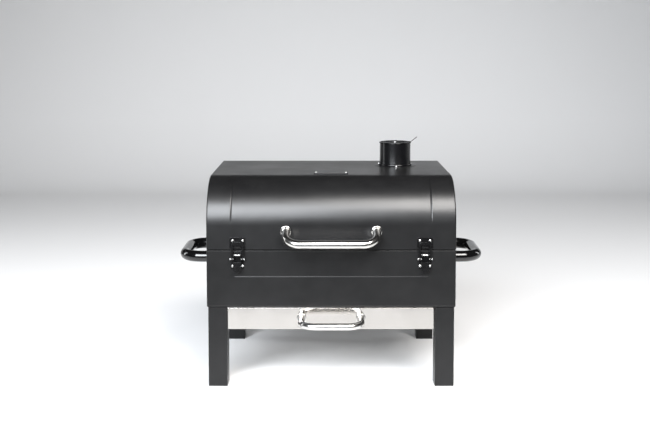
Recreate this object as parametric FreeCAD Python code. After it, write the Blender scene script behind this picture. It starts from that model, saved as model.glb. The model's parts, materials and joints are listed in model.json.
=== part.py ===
import FreeCAD, Part
import math
import os

# Portable tabletop pellet smoker grill: a sheet-steel firebox on four square legs, a lid hinged at
# the rear, an ash drawer between the legs, a chimney with a turning damper, two draw latches, a lid
# handle and two carry handles. Millimetres. +Z is up, the front faces -Y, and the origin is on the
# ground under the centre of the whole object.

# ---- firebox and lid ----
BODY_WIDTH = 600.0
BODY_DEPTH = 440.0
FIREBOX_HEIGHT = 139.5
LID_HEIGHT = 167.5
SEAM_GAP = 2.0
SHEET = 1.5
LID_CURVE_RADIUS = 110.0
LID_REAR_BEND = 36.0
FIREBOX_BEND = 7.0
CREASE_FROM_END = 59.0
CREASE_WIDTH = 1.6
CREASE_DEPTH = 0.5
PRESS_LINE_HEIGHT = 76.0
PRESS_LINE_FROM_END = 65.0
PRESS_LINE_DEPTH = 1.2
PRESS_LINE_WIDTH = 5.0
RIM_LOWER = 16.0
RIM_UPPER = 8.0
RIM_LAP = 2.0
LEDGE_DROP = 17.0
LEDGE_WIDTH = 16.0
LEDGE_FLANGE = 18.0
ASH_OPENING_WIDTH = 300.0
ASH_OPENING_DEPTH = 180.0
ASH_OPENING_SETBACK = 100.0

# ---- legs ----
LEG_HEIGHT = 194.0
LEG_SIZE = 46.0
LEG_WALL = 2.0
LEG_TOP_PLATE = 3.0
LEG_FRONT_INSET = 3.0
LEG_REAR_INSET = 13.0
LEG_BACK_INSET = 1.0
LEG_CAP = 2.0
LEG_CAP_PLUG = 10.0
LEG_BOLT_SPACING = 20.0
BOLT_RADIUS = 3.0
BOLT_HEAD_RADIUS = 5.5
BOLT_HEAD_HEIGHT = 4.0
BOLT_GRIP = 12.0

# ---- ash drawer ----
DRAWER_FRONT_HEIGHT = 52.0
DRAWER_FRONT_GAP = 1.4
DRAWER_SETBACK = 5.0
DRAWER_GAP_LEFT = 1.2
DRAWER_GAP_RIGHT = 3.6
DRAWER_RETURN = 10.0
DRAWER_SHEET = 1.0
TRAY_HEIGHT = 35.0
TRAY_LENGTH = 320.0
TRAY_WALL_LEG_GAP = 12.5
RAIL_GAP = 1.0
RAIL_FLANGE = 15.0
RAIL_SHEET = 1.5
RAIL_LENGTH = 320.0
RAIL_SETBACK = 52.0
RAIL_SCREWS = 3
DRAWER_HANDLE_RADIUS = 8.0
DRAWER_HANDLE_SPAN = 143.0
DRAWER_HANDLE_REACH = 80.0
DRAWER_HANDLE_BEND = 34.0
DRAWER_FLANGE_RADIUS = 12.0
DRAWER_FLANGE_THICKNESS = 3.0

# ---- lid handle ----
LID_HANDLE_RADIUS = 10.0
LID_HANDLE_WALL = 1.5
LID_HANDLE_SPAN = 218.0
LID_HANDLE_REACH = 62.0
LID_HANDLE_DROP = 22.0
LID_HANDLE_BEND = 36.0
LID_HANDLE_HEIGHT = 45.0
LID_FLANGE_RADIUS = 13.5
LID_FLANGE_THICKNESS = 3.5
HANDLE_PLUG = 6.0
SCREW_RADIUS = 2.5
SCREW_HEAD_RADIUS = 5.0
SCREW_HEAD_HEIGHT = 3.0
SCREW_CLEARANCE = 0.2

# ---- carry handles ----
CARRY_RADIUS = 14.0
CARRY_WALL = 2.0
CARRY_SPAN = 174.0
CARRY_REACH = 87.0
CARRY_BEND = 44.0
CARRY_BELOW_SEAM = 43.0
COLLAR_RADIUS = 17.0
COLLAR_THICKNESS = 6.0

# ---- chimney and damper ----
CHIMNEY_RADIUS = 41.0
CHIMNEY_WALL = 1.5
CHIMNEY_HEIGHT = 63.0
CHIMNEY_X = 173.0
CHIMNEY_FROM_FRONT = 306.0
CHIMNEY_TAIL = 10.0
CHIMNEY_BEAD = 1.8
BASE_BEAD = 2.2
CHIMNEY_SCREW_HEAD = 3.8
CHIMNEY_SCREW_HEIGHT = 2.8
EMBOSS_RADIUS = 57.0
EMBOSS_HEIGHT = 1.0
CHIMNEY_FLANGE = 12.0
DAMPER_PLATE_DROP = 4.5
DAMPER_SHEET = 1.2
DAMPER_PORTS = 4
DAMPER_PORT_RADIUS = 10.5
DAMPER_PORT_CIRCLE = 22.0
DAMPER_RIVET_RADIUS = 2.5
DAMPER_LEVER_WIDTH = 6.0
DAMPER_LEVER_ANGLE = 37.0
DAMPER_LEVER_REACH = 18.0
DAMPER_LEVER_START = 33.5
DAMPER_LEVER_BEND = 2.0

# ---- name plate ----
PLATE_WIDTH = 86.0
PLATE_DEPTH = 40.0
PLATE_THICKNESS = 2.0
PLATE_BEHIND_CURVE = 8.0

# ---- draw latches ----
LATCH_FROM_END = 75.0
LATCH_BASE_WIDTH = 30.0
LATCH_BASE_HEIGHT = 44.0
LATCH_PLATE = 1.5
LATCH_PIVOT_BELOW_SEAM = 10.0
LATCH_PIVOT_OUT = 9.5
LATCH_ARM = 10.0
LATCH_OVER_CENTRE = 1.5
LATCH_PIN_RADIUS = 1.8
LATCH_EAR_HALF = 6.0
LATCH_LEVER_HALF = 9.5
LATCH_LEVER_LENGTH = 42.0
LATCH_LEVER_FACE = 25.0
LATCH_LEVER_DEPTH = 4.0
LOOP_HALF = 15.5
LOOP_LEG = 5.0
LOOP_THICKNESS = 2.0
LOOP_LENGTH = 41.5
LOOP_BAR = 7.0
LOOP_HOOK_GAP = 0.5
EAR_BOSS = 4.0
KEEPER_WIDTH = 38.0
KEEPER_HEIGHT = 26.0
KEEPER_ABOVE_SEAM = 4.5
KEEPER_CORNER = 6.0
KEEPER_HOOK_HALF = 8.0
RIVET_RADIUS = 2.0
RIVET_HEAD_RADIUS = 3.3
RIVET_HEAD_HEIGHT = 1.8
RIVET_SPACING = 24.0

# ---- hinges ----
HINGE_FROM_END = 100.0
HINGE_WIDTH = 60.0
HINGE_LEAF_HEIGHT = 26.0
HINGE_LEAF = 2.0
HINGE_BARREL_RADIUS = 5.0
HINGE_OFFSET = 5.5
HINGE_KNUCKLE = 22.0
HINGE_PIN_RADIUS = 2.6
HINGE_HEAD = 2.0

# ---- inside ----
GRATE_WIRE = 3.0
GRATE_ROD = 2.2
GRATE_RODS = 15
GRATE_MARGIN = 4.0
GRATE_MID_GAP = 4.0
FIRE_TRAY_WIDTH = 340.0
FIRE_TRAY_DEPTH = 210.0
FIRE_TRAY_HEIGHT = 34.0
FIRE_TRAY_RAISE = 16.0
FIRE_TRAY_SLOTS = 15
FIRE_SLOT_WIDTH = 7.0
SHIELD_SCREW_GAP = 7.0
SHIELD_DEPTH = 300.0
SHIELD_GRATE_GAP = 29.0

# ---- clearances ----
RUNNING_CLEARANCE = 0.06
FIT_GAP = 0.1
MOVING_GAP = 0.5

# ---- places worked out from the sizes ----
FRONT_REACH = max(LID_HANDLE_REACH, DRAWER_HANDLE_REACH - DRAWER_SETBACK)
REAR_REACH = HINGE_OFFSET + HINGE_BARREL_RADIUS
FRONT = -(BODY_DEPTH + REAR_REACH - FRONT_REACH) / 2.0
BACK = FRONT + BODY_DEPTH
HALF = BODY_WIDTH / 2.0
BOX_BOTTOM = LEG_HEIGHT
BOX_TOP = BOX_BOTTOM + FIREBOX_HEIGHT
LID_BOTTOM = BOX_TOP + SEAM_GAP
LID_TOP = LID_BOTTOM + LID_HEIGHT
SEAM = (BOX_TOP + LID_BOTTOM) / 2.0
INNER_HALF = HALF - SHEET
INNER_FRONT = FRONT + SHEET
INNER_BACK = BACK - SHEET
FLOOR_TOP = BOX_BOTTOM + SHEET
LEDGE_TOP = BOX_TOP - LEDGE_DROP
PRESS_Z = BOX_BOTTOM + PRESS_LINE_HEIGHT
RAIL_WEB = HALF - LEG_REAR_INSET - LEG_SIZE - TRAY_WALL_LEG_GAP + RAIL_GAP
TRAY_HALF = RAIL_WEB - RAIL_GAP
ASH_FRONT = FRONT + ASH_OPENING_SETBACK
LATCH_X = HALF - LATCH_FROM_END
LATCH_BASE_TOP = BOX_TOP - MOVING_GAP * 2.0
LATCH_BASE_BOTTOM = LATCH_BASE_TOP - LATCH_BASE_HEIGHT
LATCH_BASE_RIVET_Z = LATCH_BASE_BOTTOM + RIVET_HEAD_RADIUS * 2.5
HINGE_X = HALF - HINGE_FROM_END
HINGE_Y = BACK + HINGE_OFFSET
CARRY_Z = SEAM - CARRY_BELOW_SEAM
CARRY_Y = (FRONT + BACK) / 2.0
CHIMNEY_Y = FRONT + CHIMNEY_FROM_FRONT
LID_HANDLE_Z = LID_BOTTOM + LID_HANDLE_HEIGHT
EMBOSS_TOP = LID_TOP + EMBOSS_HEIGHT
CHIMNEY_TOP = LID_TOP + CHIMNEY_HEIGHT
CHIMNEY_SCREW_CIRCLE = CHIMNEY_RADIUS + BASE_BEAD * 2.0 + CHIMNEY_SCREW_HEAD
HINGE_RIVET_RISE = HINGE_BARREL_RADIUS + HINGE_LEAF_HEIGHT / 2.0
PIVOT_Z = SEAM - LATCH_PIVOT_BELOW_SEAM
PIVOT_Y = FRONT - LATCH_PIVOT_OUT
LOOP_Z = PIVOT_Z - LATCH_ARM
LOOP_Y = PIVOT_Y + LATCH_OVER_CENTRE
LOOP_BACK = LOOP_Y + LOOP_THICKNESS / 2.0
LOOP_FRONT = LOOP_Y - LOOP_THICKNESS / 2.0
HOOK_TIP = LOOP_BACK + LOOP_HOOK_GAP
SIDES = (("left", -1.0), ("right", 1.0))

os.makedirs("parts", exist_ok=True)


def vec(x, y, z):
    return FreeCAD.Vector(x, y, z)


def box(x0, x1, y0, y1, z0, z1):
    """Box between two corners, given in any order."""
    low = vec(min(x0, x1), min(y0, y1), min(z0, z1))
    return Part.makeBox(abs(x1 - x0), abs(y1 - y0), abs(z1 - z0), low)


def rod(radius, start, end):
    """Round bar from one point to another."""
    run = end.sub(start)
    return Part.makeCylinder(radius, run.Length, start, run)


def ring(outer, inner, base, axis, height):
    """Flat washer or short tube."""
    return Part.makeCylinder(outer, height, base, axis).cut(Part.makeCylinder(inner, height, base, axis))


def fuse(shapes):
    """One solid from shapes that touch or overlap."""
    return shapes[0].multiFuse(shapes[1:]).removeSplitter()


def cut(shape, tools):
    """Shape with every tool taken away."""
    return shape.cut(Part.makeCompound(tools))


def save(name, shapes):
    """Write one node, a single solid or a group of separate ones."""
    solids = shapes if isinstance(shapes, list) else [shapes]
    solids = [solid for shape in solids for solid in shape.Solids]
    shape = solids[0] if len(solids) == 1 else Part.makeCompound(solids)
    shape.exportStep("parts/" + name + ".step")


def face_yz(points, x):
    """Plane face at x from (y, z) points; a third value rounds that corner by its radius."""
    edges = []
    count = len(points)
    starts = []
    ends = []
    for index in range(count):
        here = points[index]
        corner = vec(x, here[0], here[1])
        radius = here[2] if len(here) > 2 else 0.0
        before = points[index - 1]
        after = points[(index + 1) % count]
        toward = vec(x, before[0], before[1]).sub(corner).normalize()
        away = vec(x, after[0], after[1]).sub(corner).normalize()
        if radius <= 0.0:
            starts.append(corner)
            ends.append(corner)
            continue
        half = toward.getAngle(away) / 2.0
        run = radius / math.tan(half)
        first = corner.add(vec(toward.x * run, toward.y * run, toward.z * run))
        last = corner.add(vec(away.x * run, away.y * run, away.z * run))
        middle = toward.add(away).normalize()
        reach = radius / math.sin(half) - radius
        through = corner.add(vec(middle.x * reach, middle.y * reach, middle.z * reach))
        edges.append(Part.Arc(first, through, last).toShape())
        starts.append(first)
        ends.append(last)
    for index in range(count):
        start = ends[index]
        end = starts[(index + 1) % count]
        if start.distanceToPoint(end) > 1e-6:
            edges.append(Part.LineSegment(start, end).toShape())
    return Part.Face(Part.Wire(Part.__sortEdges__(edges)))


def prism_x(points, x0, x1):
    """Solid with a (y, z) outline, running from x0 to x1."""
    return face_yz(points, x0).extrude(vec(x1 - x0, 0, 0))


def bend_path(points, radius):
    """Wire through the points with every inner corner rounded by a tangent arc."""
    edges = []
    start = points[0]
    for index in range(1, len(points) - 1):
        corner = points[index]
        toward = points[index - 1].sub(corner).normalize()
        away = points[index + 1].sub(corner).normalize()
        half = toward.getAngle(away) / 2.0
        run = radius / math.tan(half)
        first = corner.add(vec(toward.x * run, toward.y * run, toward.z * run))
        last = corner.add(vec(away.x * run, away.y * run, away.z * run))
        middle = toward.add(away).normalize()
        reach = radius / math.sin(half) - radius
        through = corner.add(vec(middle.x * reach, middle.y * reach, middle.z * reach))
        edges.append(Part.LineSegment(start, first).toShape())
        edges.append(Part.Arc(first, through, last).toShape())
        start = last
    edges.append(Part.LineSegment(start, points[-1]).toShape())
    return Part.Wire(edges)


def bent_bar(points, bend, radius):
    """Round bar swept along a bent path."""
    path = bend_path(points, bend)
    run = points[1].sub(points[0])
    circle = Part.Wire([Part.makeCircle(radius, points[0], run)])
    return path.makePipeShell([circle], True, False)


# ---- firebox ----
def firebox_outline(inset):
    """(y, z) outline of the firebox, moved inwards by the sheet when inset."""
    bend = FIREBOX_BEND - inset
    return [
        (FRONT + inset, BOX_TOP),
        (FRONT + inset, BOX_BOTTOM + inset, bend),
        (BACK - inset, BOX_BOTTOM + inset, bend),
        (BACK - inset, BOX_TOP),
    ]


def press_line(face_y, half_length):
    """Three-sided bar that presses a horizontal line into the front."""
    return prism_x(
        [
            (face_y, PRESS_Z + PRESS_LINE_WIDTH / 2.0),
            (face_y + PRESS_LINE_DEPTH, PRESS_Z + PRESS_LINE_WIDTH / 6.0),
            (face_y, PRESS_Z - PRESS_LINE_WIDTH / 2.0),
        ],
        -half_length,
        half_length,
    )


def leg_centres():
    """Name, x and y of each leg's centre."""
    front_x = HALF - LEG_FRONT_INSET - LEG_SIZE / 2.0
    rear_x = HALF - LEG_REAR_INSET - LEG_SIZE / 2.0
    front_y = FRONT + LEG_FRONT_INSET + LEG_SIZE / 2.0
    rear_y = BACK - LEG_BACK_INSET - LEG_SIZE / 2.0
    return [
        ("front_left", -front_x, front_y),
        ("front_right", front_x, front_y),
        ("rear_left", -rear_x, rear_y),
        ("rear_right", rear_x, rear_y),
    ]


def leg_bolt_places():
    """x and y of the two bolts above each leg."""
    return [
        (x, y + side * LEG_BOLT_SPACING / 2.0)
        for _, x, y in leg_centres()
        for side in (-1.0, 1.0)
    ]


def rail_screw_places():
    """x and y of the screws that hold the drawer rails."""
    pitch = RAIL_LENGTH / RAIL_SCREWS
    return [
        (side * (RAIL_WEB - RAIL_FLANGE / 2.0), FRONT + RAIL_SETBACK + pitch * (step + 0.5))
        for _, side in SIDES
        for step in range(RAIL_SCREWS)
    ]


def make_firebox():
    outer = prism_x(firebox_outline(0.0), -HALF, HALF)
    inner = prism_x(firebox_outline(SHEET), -HALF, HALF)
    half_line = HALF - PRESS_LINE_FROM_END
    wrap = outer.cut(inner)
    wrap = wrap.fuse(press_line(INNER_FRONT, half_line)).cut(press_line(FRONT, half_line))
    half_ash = ASH_OPENING_WIDTH / 2.0
    holes = [box(-half_ash, half_ash, ASH_FRONT, ASH_FRONT + ASH_OPENING_DEPTH, 0.0, FLOOR_TOP + SHEET)]
    bolt_hole = BOLT_RADIUS + SCREW_CLEARANCE
    screw_hole = SCREW_RADIUS + SCREW_CLEARANCE
    rivet_hole = RIVET_RADIUS + FIT_GAP
    for x, y in leg_bolt_places():
        holes.append(rod(bolt_hole, vec(x, y, BOX_BOTTOM - SHEET), vec(x, y, FLOOR_TOP + SHEET)))
    for x, y in rail_screw_places():
        holes.append(rod(screw_hole, vec(x, y, BOX_BOTTOM - SHEET), vec(x, y, FLOOR_TOP + SHEET)))
    for x, z in latch_base_rivets():
        holes.append(rod(rivet_hole, vec(x, FRONT - SHEET, z), vec(x, INNER_FRONT + SHEET, z)))
    for x in hinge_rivet_places():
        z = SEAM - HINGE_RIVET_RISE
        holes.append(rod(rivet_hole, vec(x, INNER_BACK - SHEET, z), vec(x, BACK + SHEET, z)))
    save("firebox_wrap", cut(wrap, holes))
    for name, side in SIDES:
        end = prism_x(firebox_outline(SHEET), side * INNER_HALF, side * HALF)
        tools = []
        for along in (-1.0, 1.0):
            y = CARRY_Y + along * CARRY_SPAN / 2.0
            tools.append(
                rod(screw_hole, vec(side * (HALF - 5.0), y, CARRY_Z), vec(side * (HALF + 5.0), y, CARRY_Z))
            )
        save("firebox_end_" + name, cut(end, tools))


def frame_ring(inset, z0, z1):
    """Four-sided strip set in from the inside of the firebox walls."""
    outer = box(-INNER_HALF + inset, INNER_HALF - inset, INNER_FRONT + inset, INNER_BACK - inset, z0, z1)
    far = inset + SHEET
    inner = box(-INNER_HALF + far, INNER_HALF - far, INNER_FRONT + far, INNER_BACK - far, z0, z1)
    return outer.cut(inner)


def make_rim():
    lower = frame_ring(0.0, BOX_TOP - RIM_LOWER, BOX_TOP - RIM_LAP)
    upper = frame_ring(SHEET, BOX_TOP - 2.0 * RIM_LAP, BOX_TOP + RIM_UPPER)
    save("firebox_rim", fuse([lower, upper]))
    ledges = []
    for wall, inward in ((INNER_FRONT, 1.0), (INNER_BACK, -1.0)):
        shelf = box(-INNER_HALF, INNER_HALF, wall, wall + inward * LEDGE_WIDTH, LEDGE_TOP - SHEET, LEDGE_TOP)
        flange = box(
            -INNER_HALF, INNER_HALF, wall, wall + inward * SHEET, LEDGE_TOP - LEDGE_FLANGE, LEDGE_TOP
        )
        ledges.append(fuse([shelf, flange]))
    save("grate_ledges", ledges)


# ---- legs ----
def make_legs():
    caps = []
    for name, x, y in leg_centres():
        half = LEG_SIZE / 2.0
        bore = half - LEG_WALL
        outer = box(x - half, x + half, y - half, y + half, LEG_CAP, LEG_HEIGHT)
        inner = box(x - bore, x + bore, y - bore, y + bore, LEG_CAP, LEG_HEIGHT - LEG_TOP_PLATE)
        holes = [inner]
        for side in (-1.0, 1.0):
            bolt_y = y + side * LEG_BOLT_SPACING / 2.0
            top = vec(x, bolt_y, LEG_HEIGHT + LEG_TOP_PLATE)
            holes.append(
                rod(BOLT_RADIUS + SCREW_CLEARANCE, vec(x, bolt_y, LEG_HEIGHT - 2.0 * LEG_TOP_PLATE), top)
            )
        save("leg_" + name, cut(outer, holes))
        plug = bore - FIT_GAP
        base = box(x - half, x + half, y - half, y + half, 0.0, LEG_CAP)
        caps.append(fuse([base, box(x - plug, x + plug, y - plug, y + plug, 0.0, LEG_CAP_PLUG)]))
    save("leg_caps", caps)
    bolts = []
    for x, y in leg_bolt_places():
        head = rod(BOLT_HEAD_RADIUS, vec(x, y, FLOOR_TOP), vec(x, y, FLOOR_TOP + BOLT_HEAD_HEIGHT))
        shank = rod(BOLT_RADIUS, vec(x, y, FLOOR_TOP - BOLT_GRIP), vec(x, y, FLOOR_TOP))
        nut_top = LEG_HEIGHT - LEG_TOP_PLATE
        nut = rod(BOLT_HEAD_RADIUS, vec(x, y, nut_top - BOLT_HEAD_HEIGHT), vec(x, y, nut_top))
        bolts.append(fuse([head, shank, nut]))
    save("leg_bolts", bolts)


# ---- handles ----
def bow_points(half_span, wall_y, reach, drop, z, start):
    """Corner points of a bow handle that leaves a wall facing -Y and comes back to it."""
    slope = drop / reach
    inner = wall_y + start
    near_z = z + slope * start
    return [
        vec(-half_span, inner, near_z),
        vec(-half_span, wall_y - reach, z - drop),
        vec(half_span, wall_y - reach, z - drop),
        vec(half_span, inner, near_z),
    ]


def make_screw(point, outwards, grip, reach):
    """Pan screw: the head sits at the point, the shank runs the other way through grip and reach."""
    head_end = point.add(vec(outwards.x, outwards.y, outwards.z).multiply(SCREW_HEAD_HEIGHT))
    tip = point.sub(vec(outwards.x, outwards.y, outwards.z).multiply(grip + reach))
    return fuse([rod(SCREW_HEAD_RADIUS, point, head_end), rod(SCREW_RADIUS, tip, point)])


def front_handle(name, half_span, wall_y, z, radius, wall, reach, drop, bend, flange, thickness, grip):
    """Bow handle on a wall facing -Y, with its end flanges and the screws that hold it."""
    start = radius + thickness
    centre_reach = reach - radius
    points = bow_points(half_span, wall_y, centre_reach, drop, z, start)
    wide = half_span + bend + radius
    behind = box(-wide, wide, wall_y, wall_y + 4.0 * start, z - 4.0 * start, z + 4.0 * start)
    bar = bent_bar(points, bend, radius).cut(behind)
    if wall > 0.0:
        plugs = box(-wide, wide, wall_y - HANDLE_PLUG, wall_y + 4.0 * start, z - 4.0 * start, z + 4.0 * start)
        bar = bar.cut(bent_bar(points, bend, radius - wall).cut(plugs))
    flanges = []
    screws = []
    holes = []
    backward = vec(0, 1, 0)
    for side in (-1.0, 1.0):
        foot = vec(side * half_span, wall_y, z)
        disc = rod(flange, foot, foot.sub(vec(0, thickness, 0)))
        flanges.append(disc.cut(bent_bar(points, bend, radius + FIT_GAP)))
        head = foot.add(vec(0, grip, 0))
        screws.append(make_screw(head, backward, grip, HANDLE_PLUG - 1.0))
        holes.append(rod(SCREW_RADIUS + FIT_GAP, foot.add(vec(0, 1, 0)), foot.sub(vec(0, HANDLE_PLUG, 0))))
    save(name, cut(bar, holes))
    save(name + "_flanges", flanges)
    save(name + "_screws", screws)


def make_carry_handles():
    collars = []
    screws = []
    for name, side in SIDES:
        out = side * (HALF + CARRY_REACH - CARRY_RADIUS)
        wall_x = side * HALF
        near = CARRY_Y - CARRY_SPAN / 2.0
        far = CARRY_Y + CARRY_SPAN / 2.0
        points = [
            vec(wall_x, near, CARRY_Z), vec(out, near, CARRY_Z), vec(out, far, CARRY_Z),
            vec(wall_x, far, CARRY_Z)
        ]
        bar = bent_bar(points, CARRY_BEND, CARRY_RADIUS)
        inner = bent_bar(points, CARRY_BEND, CARRY_RADIUS - CARRY_WALL)
        plug_end = wall_x + side * HANDLE_PLUG
        inner = inner.cut(box(wall_x, plug_end, near - CARRY_SPAN, far + CARRY_SPAN, 0.0, 2.0 * CARRY_Z))
        holes = [inner]
        for y in (near, far):
            foot = vec(wall_x, y, CARRY_Z)
            holes.append(rod(SCREW_RADIUS + FIT_GAP, foot, vec(plug_end, y, CARRY_Z)))
            axis = vec(side, 0, 0)
            collars.append(ring(COLLAR_RADIUS, CARRY_RADIUS + FIT_GAP, foot, axis, COLLAR_THICKNESS))
            screws.append(
                make_screw(vec(side * INNER_HALF, y, CARRY_Z), vec(-side, 0, 0), SHEET, HANDLE_PLUG - 1.0)
            )
        save("side_handle_" + name, cut(bar, holes))
    save("side_handle_collars", collars)
    save("side_handle_screws", screws)


# ---- ash drawer ----
def make_drawer():
    left = -(HALF - LEG_FRONT_INSET - LEG_SIZE) + DRAWER_GAP_LEFT
    right = HALF - LEG_FRONT_INSET - LEG_SIZE - DRAWER_GAP_RIGHT
    top = BOX_BOTTOM - DRAWER_FRONT_GAP
    bottom = top - DRAWER_FRONT_HEIGHT
    face = FRONT + DRAWER_SETBACK
    t = DRAWER_SHEET
    pan = box(left, right, face, face + DRAWER_RETURN, bottom, top)
    pan = pan.cut(box(left + t, right - t, face + t, face + DRAWER_RETURN, bottom + t, top - t))
    rail_bottom = BOX_BOTTOM - TRAY_HEIGHT - 4.0 * RAIL_SHEET - MOVING_GAP
    tray_bottom = rail_bottom + RAIL_SHEET + MOVING_GAP
    tray = box(-TRAY_HALF, TRAY_HALF, face + t, face + TRAY_LENGTH, tray_bottom, tray_bottom + TRAY_HEIGHT)
    hollow = box(
        -TRAY_HALF + t, TRAY_HALF - t, face + 2 * t, face + TRAY_LENGTH - t, tray_bottom + t, BOX_BOTTOM
    )
    handle_z = (top + bottom) / 2.0
    half_span = DRAWER_HANDLE_SPAN / 2.0
    holes = []
    for side in (-1.0, 1.0):
        x = side * half_span
        holes.append(
            rod(SCREW_RADIUS + SCREW_CLEARANCE, vec(x, face - t, handle_z), vec(x, face + 4 * t, handle_z))
        )
    save("drawer_front", cut(pan, holes))
    save("drawer_tray", cut(tray.cut(hollow), holes))
    front_handle("drawer_handle", half_span, face, handle_z, DRAWER_HANDLE_RADIUS, 0.0,
                 DRAWER_HANDLE_REACH, 0.0,
                 DRAWER_HANDLE_BEND, DRAWER_FLANGE_RADIUS, DRAWER_FLANGE_THICKNESS, 2.0 * t)
    screws = []
    for name, side in SIDES:
        web = side * RAIL_WEB
        y0 = FRONT + RAIL_SETBACK
        y1 = y0 + RAIL_LENGTH
        inward = web - side * RAIL_FLANGE
        parts = [
            box(web, web + side * RAIL_SHEET, y0, y1, rail_bottom, BOX_BOTTOM),
            box(inward, web, y0, y1, rail_bottom, rail_bottom + RAIL_SHEET),
            box(inward, web, y0, y1, BOX_BOTTOM - RAIL_SHEET, BOX_BOTTOM),
        ]
        rail = fuse(parts)
        tools = []
        for x, y in rail_screw_places():
            if x * side > 0.0:
                tools.append(
                    rod(SCREW_RADIUS + SCREW_CLEARANCE, vec(x, y, BOX_BOTTOM - 3.0), vec(x, y, BOX_BOTTOM))
                )
        save("drawer_rail_" + name, cut(rail, tools))
    down = vec(0, 0, -1)
    for x, y in rail_screw_places():
        screws.append(make_rail_screw(vec(x, y, BOX_BOTTOM - RAIL_SHEET), down))
    save("rail_screws", screws)


def make_rail_screw(point, outwards):
    """Low-headed screw up through a rail's top flange and the firebox floor."""
    low_head = SCREW_HEAD_HEIGHT / 2.0
    head_end = point.add(vec(0, 0, outwards.z * low_head))
    tip = vec(point.x, point.y, FLOOR_TOP + SHEET)
    return fuse([rod(SCREW_HEAD_RADIUS, point, head_end), rod(SCREW_RADIUS, point, tip)])


# ---- lid ----
def lid_outline(inset):
    """(y, z) outline of the lid, moved inwards by the sheet when inset."""
    return [
        (FRONT + inset, LID_BOTTOM),
        (FRONT + inset, LID_TOP - inset, LID_CURVE_RADIUS - inset),
        (BACK - inset, LID_TOP - inset, LID_REAR_BEND - inset),
        (BACK - inset, LID_BOTTOM),
    ]


def chimney_screw_places():
    """x and y of the three screws round the chimney's foot, one of them at the front."""
    return [
        (
            CHIMNEY_X + CHIMNEY_SCREW_CIRCLE * math.cos(math.radians(angle)),
            CHIMNEY_Y + CHIMNEY_SCREW_CIRCLE * math.sin(math.radians(angle)),
        )
        for angle in (-90.0, 30.0, 150.0)
    ]


def plate_rivet_places():
    """x and y of the two name plate rivets."""
    y = FRONT + LID_CURVE_RADIUS + PLATE_BEHIND_CURVE + PLATE_DEPTH / 2.0
    return [(side * (PLATE_WIDTH / 2.0 - RIVET_HEAD_RADIUS * 1.6), y) for side in (-1.0, 1.0)]


def hinge_rivet_places():
    """x of the rivets in each hinge leaf."""
    return [
        name_side[1] * HINGE_X + offset * HINGE_WIDTH / 3.0
        for name_side in SIDES
        for offset in (-1.0, 1.0)
    ]


def latch_base_rivets():
    """x and z of the rivets that hold the latch bases."""
    return [
        (side * LATCH_X + offset * RIVET_SPACING / 2.0, LATCH_BASE_RIVET_Z)
        for _, side in SIDES
        for offset in (-1.0, 1.0)
    ]


def keeper_rivets():
    """x and z of the rivets that hold the latch keepers."""
    z = LID_BOTTOM + KEEPER_ABOVE_SEAM + KEEPER_HEIGHT - RIVET_HEAD_RADIUS * 2.4
    return [
        (side * LATCH_X + offset * RIVET_SPACING / 2.0, z)
        for _, side in SIDES
        for offset in (-1.0, 1.0)
    ]


def rivet(point, outwards, grip, head_radius=RIVET_HEAD_RADIUS, head_height=RIVET_HEAD_HEIGHT):
    """Domed rivet: the head sits on the point, the shank runs back through the grip."""
    ball = head_height / 2.0 + head_radius ** 2 / (2.0 * head_height)
    centre = point.add(vec(outwards.x, outwards.y, outwards.z).multiply(head_height - ball))
    tip = point.add(vec(outwards.x, outwards.y, outwards.z).multiply(head_height * 1.5))
    dome = Part.makeSphere(ball, centre).common(rod(head_radius * 1.2, point, tip))
    back = point.sub(vec(outwards.x, outwards.y, outwards.z).multiply(grip))
    return fuse([dome, rod(RIVET_RADIUS, back, point)])


def crease(side):
    """Shallow groove over the lid's curve, near one end."""
    middle = side * (HALF - CREASE_FROM_END)
    low = middle - CREASE_WIDTH / 2.0
    high = middle + CREASE_WIDTH / 2.0
    band = prism_x(lid_outline(-1.0), low, high).cut(prism_x(lid_outline(CREASE_DEPTH), low, high))
    bottom = LID_TOP - LID_CURVE_RADIUS + LID_CURVE_RADIUS / 10.0
    return band.common(box(low, high, FRONT - 2.0, FRONT + LID_CURVE_RADIUS, bottom, LID_TOP + 2.0))


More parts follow.
